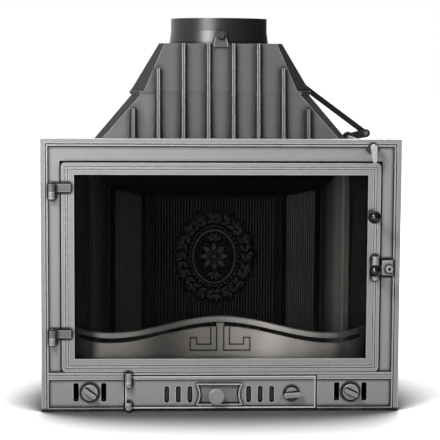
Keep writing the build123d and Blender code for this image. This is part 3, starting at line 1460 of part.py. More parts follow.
with BuildPart() as latch_pin:
    pin_half = latch_hub_height / 2 + seat_gap + latch_lug_height + latch_pin_end
    with Locations((latch_x, latch_y, latch_z - pin_half)):
        rod_up(latch_pin_radius, 2 * pin_half)
    chamfer(latch_pin.faces().filter_by(Axis.Z).edges(), pin_break)
latch_pin.part.label = "latch_pin"
export_step(latch_pin.part, "parts/latch_pin.step")

# Fixed knob that the door is pulled by
ball_face = pull_reach - pull_ball_radius
with BuildPart() as pull_knob_stem:
    with Locations((pull_x, -ball_face - ball_bore_depth, pull_z)):
        rod_back(pull_stem_radius, ball_face + ball_bore_depth + door_plate)
    with Locations((pull_x, -pull_collar_wall, pull_z)):
        rod_back(pull_collar_radius, pull_collar_wall)
pull_knob_stem.part.label = "pull_knob_stem"
export_step(pull_knob_stem.part, "parts/pull_knob_stem.step")

with BuildPart() as pull_knob_ball:
    with Locations((pull_x, -pull_reach, pull_z)):
        Sphere(pull_ball_radius)
    with Locations((pull_x, -ball_face - ball_bore_depth, pull_z)):
        rod_back(pull_stem_radius, pull_ball_radius, Mode.SUBTRACT)
pull_knob_ball.part.label = "pull_knob_ball"
export_step(pull_knob_ball.part, "parts/pull_knob_ball.step")

# Latch lever: hub, finger to the back and ball arm to the front
latch_arm_dir = (cos(radians(latch_arm_angle)), sin(radians(latch_arm_angle)), 0)
latch_arm_end = latch_arm_length - latch_ball_radius + ball_bore_depth
with BuildPart() as latch_lever:
    with Locations((latch_x, latch_y, latch_z - latch_hub_height / 2)):
        rod_up(latch_barrel_radius, latch_hub_height)
    with BuildSketch(Plane.XY.offset(latch_z - latch_finger_height / 2)):
        with Locations(Location((latch_x, latch_y), (0, 0, latch_finger_angle))):
            with Locations((latch_finger_reach / 2, 0)):
                Rectangle(latch_finger_reach, latch_finger_wall)
    extrude(amount=latch_finger_height)
    with Locations(Plane(origin=(latch_x, latch_y, latch_z), z_dir=latch_arm_dir)):
        rod_up(latch_stem_radius, latch_arm_end)
    with Locations((latch_x, latch_y, latch_z - latch_hub_height / 2)):
        rod_up(latch_pin_radius + running_gap, latch_hub_height, Mode.SUBTRACT)
latch_lever.part.label = "latch_lever"
export_step(latch_lever.part, "parts/latch_lever.step")

with BuildPart() as latch_ball:
    with Locations((latch_x + latch_arm_length * latch_arm_dir[0], latch_y + latch_arm_length * latch_arm_dir[1],
                    latch_z)):
        Sphere(latch_ball_radius)
    with Locations(Plane(origin=(latch_x, latch_y, latch_z), z_dir=latch_arm_dir)):
        rod_up(latch_stem_radius, latch_arm_end, Mode.SUBTRACT)
latch_ball.part.label = "latch_ball"
export_step(latch_ball.part, "parts/latch_ball.step")

# Ash door: plate with raised rail, vent slots, rimmed window and its own knuckles
vent_slots = [(vent_middle_x + group * vent_group_x + slot * vent_slot_pitch, vent_middle_z)
              for group in (-1, 1) for slot in (-1, 0, 1)]
ash_door_half = ash_opening_width / 2 - ash_gap
ash_door_bottom = band_bottom + ash_gap
ash_door_top = band_top - ash_gap
ash_lower_knuckle_z = ash_lug_low_height + seat_gap
ash_upper_knuckle_z = ash_upper_hinge_z - seat_gap - ash_knuckle_height
guide_middle = slide_height / 2 + slide_gap + guide_height / 2  # from the middle of the slide
guide_screw_places = [(vent_middle_x + side * guide_screw_x, vent_middle_z + row * guide_middle)
                      for side in (-1, 1) for row in (-1, 1)]
window_low = vent_middle_z - window_height / 2
window_high = vent_middle_z + window_height / 2
window_left = vent_middle_x - window_width / 2
window_right = vent_middle_x + window_width / 2
with BuildPart() as ash_door:
    with BuildSketch(front_plane(ash_back)):
        with Locations((0, ash_middle_z)):
            Rectangle(2 * ash_door_half, ash_door_top - ash_door_bottom)
    extrude(amount=ash_wall)
    with BuildSketch(front_plane(field_front)):
        with Locations((0, ash_door_top - band_rail_height / 2)):
            Rectangle(2 * ash_door_half, band_rail_height)
        with Locations((0, ash_door_bottom + ash_bead_height / 2)):
            Rectangle(2 * ash_door_half, ash_bead_height)
        with BuildLine():
            Line((window_left, window_low), (window_right, window_low))
            ThreePointArc((window_right, window_low), (window_right - window_waist, vent_middle_z),
                          (window_right, window_high))
            Line((window_right, window_high), (window_left, window_high))
            ThreePointArc((window_left, window_high), (window_left + window_waist, vent_middle_z),
                          (window_left, window_low))
        window = make_face(mode=Mode.PRIVATE)
        add(offset(window, amount=window_rim, mode=Mode.PRIVATE))
    extrude(amount=window_rim_height)
    with BuildSketch(front_plane(ash_back)):
        with BuildLine():
            Line((window_left, window_low), (window_right, window_low))
            ThreePointArc((window_right, window_low), (window_right - window_waist, vent_middle_z),
                          (window_right, window_high))
            Line((window_right, window_high), (window_left, window_high))
            ThreePointArc((window_left, window_high), (window_left + window_waist, vent_middle_z),
                          (window_left, window_low))
        make_face()
        with Locations(*vent_slots):
            SlotOverall(vent_slot_height, vent_slot_width, rotation=90)
        with Locations((catch_x, catch_z)):
            Circle(catch_shaft_radius + running_gap)
    extrude(amount=ash_wall + window_rim_height, mode=Mode.SUBTRACT)
    for x, z in guide_screw_places:
        with Locations((x, ash_back - guide_screw_depth, z)):
            rod_back(guide_screw_radius, guide_screw_depth, Mode.SUBTRACT)
    for low_z in (ash_lower_knuckle_z, ash_upper_knuckle_z):
        with Locations((ash_hinge_x, ash_hinge_y, low_z)):
            rod_up(ash_knuckle_radius, ash_knuckle_height)
        with BuildSketch(Plane.XY.offset(low_z)):
            with Locations((ash_hinge_x, (ash_hinge_y + field_front) / 2)):
                Rectangle(2 * ash_knuckle_radius - 2, field_front - ash_hinge_y)
        extrude(amount=ash_knuckle_height)
        with Locations((ash_hinge_x, ash_hinge_y, low_z)):
            rod_up(ash_pin_radius + running_gap, ash_knuckle_height, Mode.SUBTRACT)
ash_door.part.label = "ash_door"
export_step(ash_door.part, "parts/ash_door.step")

# Stepped guides above and below the air slide
guide_back = ash_back + slide_gap + slide_wall + slide_gap
with BuildPart() as slide_guides:
    for row in (-1, 1):
        with BuildSketch(front_plane(guide_back)):
            with Locations((vent_middle_x, vent_middle_z + row * guide_middle)):
                Rectangle(2 * guide_half, guide_height)
        extrude(amount=guide_back - ash_back)
        with BuildSketch(front_plane(guide_back + guide_wall)):
            with Locations((vent_middle_x, vent_middle_z + row * (guide_middle - guide_lip / 2))):
                Rectangle(2 * guide_half, guide_height + guide_lip)
        extrude(amount=guide_wall)
    for x, z in guide_screw_places:
        with Locations((x, ash_back, z)):
            rod_back(guide_screw_radius, guide_back + guide_wall - ash_back, Mode.SUBTRACT)
slide_guides.part.label = "slide_guides"
export_step(slide_guides.part, "parts/slide_guides.step")

with BuildPart() as guide_screws:
    for x, z in guide_screw_places:
        with Locations((x, ash_back - guide_screw_depth, z)):
            rod_back(guide_screw_radius, guide_screw_depth + guide_back + guide_wall - ash_back)
        with Locations((x, guide_back + guide_wall, z)):
            rod_back(guide_screw_head, guide_wall)
guide_screws.part.label = "guide_screws"
export_step(guide_screws.part, "parts/guide_screws.step")

# Air slide behind the ash door: at rest its slots stand between those of the door and close them
slide_middle_x = vent_middle_x + slide_rest_shift
slide_knob_z = vent_middle_z - slide_knob_drop
with BuildPart() as air_slide_plate:
    with BuildSketch(front_plane(slide_front + slide_wall)):
        with Locations((slide_middle_x, vent_middle_z)):
            Rectangle(2 * slide_half, slide_height)
        with Locations(*[(x - vent_slot_pitch / 2, z) for x, z in vent_slots]):
            SlotOverall(vent_slot_height, vent_slot_width, rotation=90, mode=Mode.SUBTRACT)
        with Locations((slide_middle_x, slide_knob_z)):
            Circle(slide_stem_radius, mode=Mode.SUBTRACT)
    extrude(amount=slide_wall)
air_slide_plate.part.label = "air_slide_plate"
export_step(air_slide_plate.part, "parts/air_slide_plate.step")

with BuildPart() as air_slide_knob:
    with Locations((slide_middle_x, slide_knob_front, slide_knob_z)):
        rod_back(slide_knob_radius, slide_knob_wall)
    chamfer(air_slide_knob.faces().sort_by(Axis.Y)[0].edges(), knob_chamfer)
    with Locations((slide_middle_x, slide_knob_front + slide_knob_wall, slide_knob_z)):
        rod_back(slide_stem_radius, slide_front + slide_wall - slide_knob_front - slide_knob_wall)
    with Locations((slide_middle_x, slide_front + slide_wall, slide_knob_z)):
        rod_back(slide_rivet_radius, slide_wall)
air_slide_knob.part.label = "air_slide_knob"
export_step(air_slide_knob.part, "parts/air_slide_knob.step")

# Catch of the ash door: wing handle in front, cam behind
with BuildPart() as ash_catch_wing:
    with Locations((catch_x, field_front - seat_gap - catch_hub_wall, catch_z)):
        rod_back(catch_hub_radius, catch_hub_wall)
        rod_back(catch_shaft_radius, catch_cam_front + catch_cam_wall - field_front + seat_gap + catch_hub_wall)
    with BuildSketch(front_plane(field_front - seat_gap - catch_hub_wall)):
        with Locations(Location((catch_x, catch_z), (0, 0, catch_bar_angle))):
            with Locations((catch_bar_shift, -catch_bar_drop)):
                SlotOverall(catch_bar_length, catch_bar_height)
    extrude(amount=catch_bar_wall)
    chamfer(ash_catch_wing.faces().sort_by(Axis.Y)[0].edges(), edge_break)
ash_catch_wing.part.label = "ash_catch_wing"
export_step(ash_catch_wing.part, "parts/ash_catch_wing.step")

with BuildPart() as ash_catch_cam:
    with Locations((catch_x, ash_back + seat_gap, catch_z)):
        rod_back(catch_cam_hub, catch_cam_front + catch_cam_wall - ash_back - seat_gap)
    with BuildSketch(front_plane(catch_cam_front + catch_cam_wall)):
        with Locations((catch_x + (catch_cam_length - catch_cam_width / 2) / 2, catch_z)):
            SlotOverall(catch_cam_length + catch_cam_width / 2, catch_cam_width)
    extrude(amount=catch_cam_wall)
    with Locations((catch_x, ash_back + seat_gap, catch_z)):
        rod_back(catch_shaft_radius, catch_cam_front + catch_cam_wall - ash_back - seat_gap, Mode.SUBTRACT)
ash_catch_cam.part.label = "ash_catch_cam"
export_step(ash_catch_cam.part, "parts/ash_catch_cam.step")

# Air valves: a knob with a bar grip in front and a slotted shutter behind the field, open at rest
shutter_front = field_back + slide_gap
for side, tilt, name in ((-1, left_valve_angle, "left"), (1, right_valve_angle, "right")):
    with BuildPart() as valve_knob:
        with Locations((side * valve_x, field_front - seat_gap - valve_knob_wall, valve_z)):
            rod_back(valve_knob_radius, valve_knob_wall)
            rod_back(valve_shaft_radius, shutter_front + slide_wall - field_front + seat_gap + valve_knob_wall)
        chamfer(valve_knob.faces().sort_by(Axis.Y)[0].edges(), fine_break)
        with BuildSketch(front_plane(field_front - seat_gap - valve_knob_wall)):
            with Locations(Location((side * valve_x, valve_z), (0, 0, tilt))):
                SlotOverall(valve_grip_length, valve_grip_width)
        extrude(amount=valve_grip_height)
        with Locations((side * valve_x, shutter_front + slide_wall, valve_z)):
            rod_back(valve_shaft_radius + valve_rivet_lip, 2 * slide_gap + valve_rivet_wall)
    valve_knob.part.label = name + "_valve_knob"
    export_step(valve_knob.part, "parts/" + name + "_valve_knob.step")
    with BuildPart() as valve_shutter:
        with BuildSketch(front_plane(shutter_front + slide_wall)):
            with Locations((side * valve_x, valve_z)):
                Circle(valve_disc_radius)
                Circle(valve_shaft_radius, mode=Mode.SUBTRACT)
                with Locations((-valve_slot_spacing / 2, 0), (valve_slot_spacing / 2, 0)):
                    SlotOverall(shutter_slot_height, shutter_slot_width, rotation=90, mode=Mode.SUBTRACT)
        extrude(amount=slide_wall)
    valve_shutter.part.label = name + "_valve_shutter"
    export_step(valve_shutter.part, "parts/" + name + "_valve_shutter.step")

# Damper handle: shaft from front to back, paddle in front, crank behind
link_pin_x = shaft_x + crank_length * cos(radians(crank_angle))
link_pin_z = shaft_z + crank_length * sin(radians(crank_angle))
crank_back = crank_front + crank_wall
bar_front = crank_back + slide_gap
link_pin_length = crank_wall + slide_gap + bar_wall + slide_gap
with BuildPart() as damper_shaft:
    with Locations((shaft_x, paddle_front + paddle_wall, shaft_z)):
        rod_back(shaft_radius, crank_back - paddle_front - paddle_wall)
damper_shaft.part.label = "damper_shaft"
export_step(damper_shaft.part, "parts/damper_shaft.step")

with BuildPart() as damper_paddle:
    tail_z = shaft_z - paddle_reach + paddle_tail_half
    with BuildSketch(front_plane(paddle_front + paddle_wall)):
        with BuildLine():
            Polyline((shaft_x - paddle_hub, shaft_z), (shaft_x + paddle_hub, shaft_z),
                     (shaft_x + paddle_tail_shift + paddle_tail_half, tail_z),
                     (shaft_x + paddle_tail_shift - paddle_tail_half, tail_z), close=True)
        make_face()
        with Locations((shaft_x, shaft_z)):
            Circle(paddle_hub)
        with Locations((shaft_x + paddle_tail_shift, tail_z)):
            Circle(paddle_tail_half)
    extrude(amount=paddle_wall)
    chamfer(damper_paddle.faces().sort_by(Axis.Y)[0].edges(), fine_break)
    with Locations((shaft_x, paddle_front + paddle_wall, shaft_z)):
        rod_back(paddle_hub, paddle_hub_depth - paddle_wall)
        rod_back(shaft_radius, paddle_hub_depth - paddle_wall, Mode.SUBTRACT)
damper_paddle.part.label = "damper_paddle"
export_step(damper_paddle.part, "parts/damper_paddle.step")

# The two cranks, each with the pin that the bar hangs on
for x, z, crank_radius, tip_radius, name in (
    (shaft_x, shaft_z, shaft_radius, crank_end, "shaft_crank"),
    (0, spindle_z, spindle_radius, crank_hub, "spindle_crank"),
):
    pin_x = x + link_pin_x - shaft_x
    pin_z = z + link_pin_z - shaft_z
    with BuildPart() as crank:
        with BuildSketch(front_plane(crank_back)):
            with Locations((x, z)):
                Circle(crank_hub)
            with Locations((pin_x, pin_z)):
                Circle(tip_radius)
            make_hull()
            with Locations((x, z)):
                Circle(crank_radius, mode=Mode.SUBTRACT)
            with Locations((pin_x, pin_z)):
                Circle(link_pin_radius, mode=Mode.SUBTRACT)
        extrude(amount=crank_wall)
    crank.part.label = name
    export_step(crank.part, "parts/" + name + ".step")
    with BuildPart() as crank_pin:
        with Locations((pin_x, crank_front, pin_z)):
            rod_back(link_pin_radius, link_pin_length)
        with Locations((pin_x, crank_front + link_pin_length, pin_z)):
            rod_back(link_pin_head, link_pin_head_wall)
    crank_pin.part.label = name + "_pin"
    export_step(crank_pin.part, "parts/" + name + "_pin.step")

# Bar between the cranks; its upper hole is opened
with BuildPart() as damper_bar:
    with BuildSketch(front_plane(bar_front + bar_wall)):
        middle_x = link_pin_x - shaft_x / 2
        middle_z = link_pin_z + (spindle_z - shaft_z) / 2
        with Locations(Location((middle_x, middle_z), (0, 0, link_angle))):
            Rectangle(link_length, bar_width)
        with Locations((link_pin_x, link_pin_z), (link_pin_x - shaft_x, link_pin_z + spindle_z - shaft_z)):
            Circle(link_eye)
        with Locations((link_pin_x, link_pin_z)):
            Circle(link_pin_radius + running_gap, mode=Mode.SUBTRACT)
        with Locations((link_pin_x - shaft_x, link_pin_z + spindle_z - shaft_z)):
            Circle(link_pin_radius + loose_gap, mode=Mode.SUBTRACT)
    extrude(amount=bar_wall)
damper_bar.part.label = "damper_bar"
export_step(damper_bar.part, "parts/damper_bar.step")

# Damper in the collar: spindle and flap
with BuildPart() as damper_spindle:
    with Locations((0, spindle_head_front, spindle_z)):
        rod_back(spindle_radius, crank_back - spindle_head_front)
        rod_back(spindle_head_radius, ear_front - slide_gap - spindle_head_front)
    chamfer(damper_spindle.faces().sort_by(Axis.Y)[0].edges(), edge_break)
damper_spindle.part.label = "damper_spindle"
export_step(damper_spindle.part, "parts/damper_spindle.step")

with BuildPart() as damper_flap:
    with Locations((0, collar_y, spindle_z)):
        Cylinder(flap_radius, flap_wall)
    with Locations((0, collar_y - flap_boss_share * flap_radius, spindle_z)):
        rod_back(flap_boss_radius, 2 * flap_boss_share * flap_radius)
    with Locations((0, collar_y - flap_radius, spindle_z)):
        rod_back(spindle_radius, 2 * flap_radius, Mode.SUBTRACT)
damper_flap.part.label = "damper_flap"
export_step(damper_flap.part, "parts/damper_flap.step")

# Ash pan with a folded lip to pull it by
pan_bottom = base_wall + runner_height + seat_gap
with BuildPart() as ash_pan:
    with BuildSketch(Plane.XY.offset(pan_bottom)):
        with Locations((0, (pan_front_y + pan_back_y) / 2)):
            RectangleRounded(2 * pan_half, pan_back_y - pan_front_y, pan_corner)
    extrude(amount=pan_height)
    with BuildSketch(Plane.XY.offset(pan_bottom + pan_wall)):
        with Locations((0, (pan_front_y + pan_back_y) / 2)):
            RectangleRounded(2 * (pan_half - pan_wall), pan_back_y - pan_front_y - 2 * pan_wall,
                             pan_corner - pan_wall)
    extrude(amount=pan_height - pan_wall, mode=Mode.SUBTRACT)
    with BuildSketch(Plane.XY.offset(pan_bottom + pan_height - pan_wall)):
        with Locations((0, pan_front_y - pan_lip / 2 + pan_wall / 2)):
            Rectangle(pan_lip_width, pan_lip + pan_wall)
    extrude(amount=pan_wall)
ash_pan.part.label = "ash_pan"
export_step(ash_pan.part, "parts/ash_pan.step")
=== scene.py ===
import math

import bmesh
import bpy
from mathutils import Matrix, Vector


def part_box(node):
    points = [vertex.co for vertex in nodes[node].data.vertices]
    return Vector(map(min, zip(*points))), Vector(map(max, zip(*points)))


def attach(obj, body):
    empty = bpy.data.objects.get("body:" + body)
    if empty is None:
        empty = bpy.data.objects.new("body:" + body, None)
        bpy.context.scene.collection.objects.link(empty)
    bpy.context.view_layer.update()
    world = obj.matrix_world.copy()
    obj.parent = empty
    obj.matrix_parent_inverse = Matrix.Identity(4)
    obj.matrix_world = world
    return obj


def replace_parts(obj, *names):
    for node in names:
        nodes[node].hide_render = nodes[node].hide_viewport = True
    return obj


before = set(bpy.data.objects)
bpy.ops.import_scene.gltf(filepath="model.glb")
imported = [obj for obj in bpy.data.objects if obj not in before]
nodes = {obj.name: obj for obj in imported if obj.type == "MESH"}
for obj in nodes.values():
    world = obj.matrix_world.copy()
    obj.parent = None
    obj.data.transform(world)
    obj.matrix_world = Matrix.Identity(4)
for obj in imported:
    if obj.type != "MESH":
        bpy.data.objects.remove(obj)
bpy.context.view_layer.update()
mm = 0.001
print("frame loaded:", len(nodes), "nodes")


# Shader helpers

def grey(value, warm=0.0):
    return (value * (1 + warm), value, value * (1 - warm), 1)


def feed(tree, node, sockets):
    # A socket is linked, anything else is set as a plain value
    for key, value in sockets.items():
        if isinstance(value, bpy.types.NodeSocket):
            tree.links.new(value, node.inputs[key])
        else:
            node.inputs[key].default_value = value
    return node


def place(tree, kind, sockets, **settings):
    node = tree.nodes.new(kind)
    for key, value in settings.items():
        setattr(node, key, value)
    return feed(tree, node, sockets)


def useGroup(tree, group, sockets):
    return place(tree, "ShaderNodeGroup", sockets, node_tree=group)


def newGroup(name, inputs, outputs):
    group = bpy.data.node_groups.new(name, "ShaderNodeTree")
    for label, kind, value in inputs:
        socket = group.interface.new_socket(name=label, in_out="INPUT", socket_type="NodeSocket" + kind)
        socket.default_value = value
    for label, kind in outputs:
        group.interface.new_socket(name=label, in_out="OUTPUT", socket_type="NodeSocket" + kind)
    return group, group.nodes.new("NodeGroupInput").outputs, group.nodes.new("NodeGroupOutput")


def spread(tree, value, low, high, fromLow=0.0, fromHigh=1.0):
    node = place(tree, "ShaderNodeMapRange",
                 {"Value": value, "From Min": fromLow, "From Max": fromHigh, "To Min": low, "To Max": high})
    return node.outputs["Result"]


def mixColour(tree, factor, first, second, blend="MIX"):
    return place(tree, "ShaderNodeMix", {0: factor, 6: first, 7: second},
                 data_type="RGBA", blend_type=blend).outputs[2]


def mixLevel(tree, factor, first, second):
    return place(tree, "ShaderNodeMix", {0: factor, 2: first, 3: second}).outputs[0]


def calc(tree, operation, first, second):
    return place(tree, "ShaderNodeMath", {0: first, 1: second}, operation=operation).outputs[0]


def magnitude(tree, value):
    return place(tree, "ShaderNodeMath", {0: value}, operation="ABSOLUTE").outputs[0]


def vectorCalc(tree, operation, first, second):
    return place(tree, "ShaderNodeVectorMath", {0: first, 1: second}, operation=operation).outputs["Vector"]


def dot(tree, first, second):
    return place(tree, "ShaderNodeVectorMath", {0: first, 1: second},
                 operation="DOT_PRODUCT").outputs["Value"]


def axisPart(tree, vector, axis):
    return place(tree, "ShaderNodeSeparateXYZ", {0: vector}).outputs[axis]


def noise(tree, where, scale, detail=4.0, rough=0.55):
    return place(tree, "ShaderNodeTexNoise",
                 {"Vector": where, "Scale": scale, "Detail": detail, "Roughness": rough}).outputs[0]


def objectPoint(tree):
    return tree.nodes.new("ShaderNodeTexCoord").outputs["Object"]


def surfaceNormal(tree):
    return tree.nodes.new("ShaderNodeNewGeometry").outputs["Normal"]


# Cast skin: grain, shallow pits and slow mottling of the tone
skinLook = {"grainDetail": 3.0, "patchScale": 14.0, "patchDetail": 6.0, "patchRough": 0.6, "patchShare": 1.2,
            "smearScale": 70.0, "smearShare": 0.5, "pitScale": 420.0, "pitEdge": (0.05, 0.3)}


def makeCastSkin():
    group, given, result = newGroup(
        "Cast skin",
        [("Colour", "Color", grey(0.3)), ("Mottle", "Float", 0.12), ("Grain scale", "Float", 900.0),
         ("Pits", "Float", 0.3), ("Roughness", "Float", 0.5), ("Roughness spread", "Float", 0.1)],
        [("Colour", "Color"), ("Roughness", "Float"), ("Height", "Float")])
    where = objectPoint(group)
    grain = noise(group, where, given["Grain scale"], skinLook["grainDetail"])
    patches = noise(group, where, skinLook["patchScale"], skinLook["patchDetail"], skinLook["patchRough"])
    smear = noise(group, where, skinLook["smearScale"])
    cells = place(group, "ShaderNodeTexVoronoi", {"Vector": where, "Scale": skinLook["pitScale"]})
    pits = spread(group, cells.outputs["Distance"], -1.0, 0.0, *skinLook["pitEdge"])

    def swing(value, middle, reach, level):
        # Moves a level to both sides as the value leaves its middle
        away = calc(group, "MULTIPLY", calc(group, "SUBTRACT", value, middle), reach)
        return calc(group, "ADD", calc(group, "MULTIPLY", away, 2.0), level)

    tone = calc(group, "ADD", calc(group, "MULTIPLY", patches, skinLook["patchShare"]),
                calc(group, "MULTIPLY", smear, skinLook["smearShare"]))
    middle = (skinLook["patchShare"] + skinLook["smearShare"]) / 2
    tone = swing(tone, middle, given["Mottle"], 1.0)
    feed(group, result, {"Colour": vectorCalc(group, "MULTIPLY", given["Colour"], tone),
                         "Roughness": swing(smear, 0.5, given["Roughness spread"], given["Roughness"]),
                         "Height": calc(group, "ADD", grain, calc(group, "MULTIPLY", pits, given["Pits"]))})
    return group


# Painted edge highlight, broken into worn patches: a lighter tone where a bevelled normal turns away from the
# true one
edgeHighlightLook = {"samples": 4, "fullHighlight": 0.86, "patchScale": 130.0, "patchDetail": 5.0, "patches": (0.35, 0.6),
           "thinnest": 0.6, "upright": (0.08, 0.3)}


def makeEdgeHighlightAndWear():
    group, given, result = newGroup(
        "Painted edge highlight and wear",
        [("Colour", "Color", grey(0.3)), ("Edge colour", "Color", grey(0.5)), ("Amount", "Float", 0.5),
         ("Width", "Float", 0.001), ("Sharper than", "Float", 0.995), ("Upright only", "Float", 0.0)],
        [("Colour", "Color")])
    softNormal = place(group, "ShaderNodeBevel", {"Radius": given["Width"]},
                       samples=edgeHighlightLook["samples"]).outputs["Normal"]
    agree = dot(group, softNormal, surfaceNormal(group))
    edge = spread(group, agree, 1.0, 0.0, edgeHighlightLook["fullHighlight"], given["Sharper than"])
    breakUp = noise(group, objectPoint(group), edgeHighlightLook["patchScale"], edgeHighlightLook["patchDetail"])
    edge = calc(group, "MULTIPLY", edge,
                spread(group, breakUp, edgeHighlightLook["thinnest"], 1.0, *edgeHighlightLook["patches"]))
    edge = calc(group, "MULTIPLY", edge, given["Amount"])
    sideways = magnitude(group, axisPart(group, softNormal, "X"))
    upright = spread(group, sideways, 0.0, 1.0, *edgeHighlightLook["upright"])
    edge = calc(group, "MULTIPLY", edge, mixLevel(group, given["Upright only"], 1.0, upright))
    feed(group, result, {"Colour": mixColour(group, edge, given["Colour"], given["Edge colour"])})
    return group


# Painted shade in hollows, found by ambient occlusion, and the same colour on faces that look up; a
# near-black colour is painted shade, the pale one of the ash pan is ash
hollowShadeLook = {"samples": 12, "lookUp": (0.3, 1.0), "patchScale": 40.0, "patchDetail": 6.0, "patchRough": 0.65,
            "patches": (0.3, 0.6), "thinOnTop": 0.3, "thinInHollows": 0.9}


def makeHollowShadeAndDust():
    group, given, result = newGroup(
        "Painted hollow shade and dust",
        [("Colour", "Color", grey(0.3)), ("Shade and dust colour", "Color", grey(0.05)), ("Hollows", "Float", 0.5),
         ("Up faces", "Float", 0.2), ("Reach", "Float", 0.006), ("Open from", "Float", 0.92),
         ("Full below", "Float", 0.5)],
        [("Colour", "Color")])
    openness = place(group, "ShaderNodeAmbientOcclusion", {"Distance": given["Reach"]},
                     samples=hollowShadeLook["samples"]).outputs["AO"]
    hollows = spread(group, openness, 1.0, 0.0, given["Full below"], given["Open from"])
    hollows = calc(group, "MULTIPLY", hollows, given["Hollows"])
    upFaces = spread(group, axisPart(group, surfaceNormal(group), "Z"), 0.0, 1.0, *hollowShadeLook["lookUp"])
    upFaces = calc(group, "MULTIPLY", upFaces, given["Up faces"])
    scatter = noise(group, objectPoint(group), hollowShadeLook["patchScale"], hollowShadeLook["patchDetail"],
                    hollowShadeLook["patchRough"])
    upFaces = calc(group, "MULTIPLY", upFaces,
                   spread(group, scatter, hollowShadeLook["thinOnTop"], 1.0, *hollowShadeLook["patches"]))
    hollows = calc(group, "MULTIPLY", hollows,
                   spread(group, scatter, hollowShadeLook["thinInHollows"], 1.0, *hollowShadeLook["patches"]))
    shadeAndDust = calc(group, "MAXIMUM", hollows, upFaces)
    feed(group, result, {"Colour": mixColour(group, shadeAndDust, given["Colour"], given["Shade and dust colour"])})
    return group


# Turned faces: painted shade, another tone on the faces that look one way
def makeTurnedFaces():
    group, given, result = newGroup(
        "Turned faces",
        [("Colour", "Color", grey(0.3)), ("Other colour", "Color", grey(0.01)), ("Way", "Vector", (1, 0, 0)),
         ("From", "Float", 0.0), ("Full at", "Float", 0.5)],
        [("Colour", "Color")])
    facing = dot(group, given["Way"], surfaceNormal(group))
    turned = spread(group, facing, 0.0, 1.0, given["From"], given["Full at"])
    feed(group, result, {"Colour": mixColour(group, turned, given["Colour"], given["Other colour"])})
    return group


def tonesAlong(tree, look):
    # Tones along one axis, from stops of place and tone, both ends first
    along = spread(tree, axisPart(tree, objectPoint(tree), look["axis"]), 0.0, 1.0, *look["span"])
    ramp = place(tree, "ShaderNodeValToRGB", {0: along})
    ramp.color_ramp.interpolation = "EASE"
    marks = ramp.color_ramp.elements
    for index, (spot, tone) in enumerate(look["tones"]):
        mark = marks[index] if index < 2 else marks.new(spot)
        mark.position = spot
        mark.color = grey(tone)
    return ramp.outputs[0]


# Painted light along the side liners, front to back: a lit band near the front and painted shade towards the
# back
sideLightLook = {"axis": "Y", "span": (86 * mm, 300 * mm),
            "tones": [(0.0, 0.3), (1.0, 0.04), (0.08, 1.0), (0.2, 0.5), (0.33, 0.7), (0.6, 0.3)]}


def makeSideLight():
    group, given, result = newGroup("Painted side light", [("Colour", "Color", grey(0.3))], [("Colour", "Color")])
    marked = mixColour(group, 1.0, given["Colour"], tonesAlong(group, sideLightLook), "MULTIPLY")
    feed(group, result, {"Colour": marked})
    return group


castSkin = makeCastSkin()
edgeHighlightAndWear = makeEdgeHighlightAndWear()
hollowShadeAndDust = makeHollowShadeAndDust()
turnedFaces = makeTurnedFaces()
sideLight = makeSideLight()
print("node groups made")


def newFinish(name):
    finish = bpy.data.materials.new(name)
    finish.use_nodes = True
    return finish, finish.node_tree, finish.node_tree.nodes["Principled BSDF"]


def firesideSoot(tree, colour, look):
    # Faces that look towards the fire are black with soot
    toFire = vectorCalc(tree, "SUBTRACT", look["fire"], objectPoint(tree))
    level = vectorCalc(tree, "MULTIPLY", toFire, (1, 1, 0))
    facing = dot(tree, level, surfaceNormal(tree))
    return mixColour(tree, spread(tree, facing, 0.0, 1.0, *look["sootFacing"]), colour, look["blackening"])


def darkFlanks(tree, colour, look):
    # Painted shade: faces turned to the sides are made black
    turned = magnitude(tree, axisPart(tree, surfaceNormal(tree), "X"))
    black = spread(tree, turned, 0.0, look["flank"], *look["flankTurn"])
    return mixColour(tree, black, colour, look["shadeAndDustColour"])


def plateRim(tree, colour, look):
    # Painted highlight in a light line round the plate, and painted shade in the gap outside it
    depths = []
    for axis, (low, high) in look["rim"].items():
        across = axisPart(tree, objectPoint(tree), axis)
        fromMiddle = magnitude(tree, calc(tree, "SUBTRACT", across, (low + high) / 2))
        depths.append(calc(tree, "SUBTRACT", (high - low) / 2, fromMiddle))
    depth = calc(tree, "MINIMUM", *depths)
    shine = spread(tree, depth, look["rimShine"], 0.0, *look["shineDepth"])
    blackening = spread(tree, depth, 1.0, 0.0, *look["gapShadeDepth"])
    return mixColour(tree, blackening, mixColour(tree, shine, colour, look["edgeColour"]), look["shadeAndDustColour"])


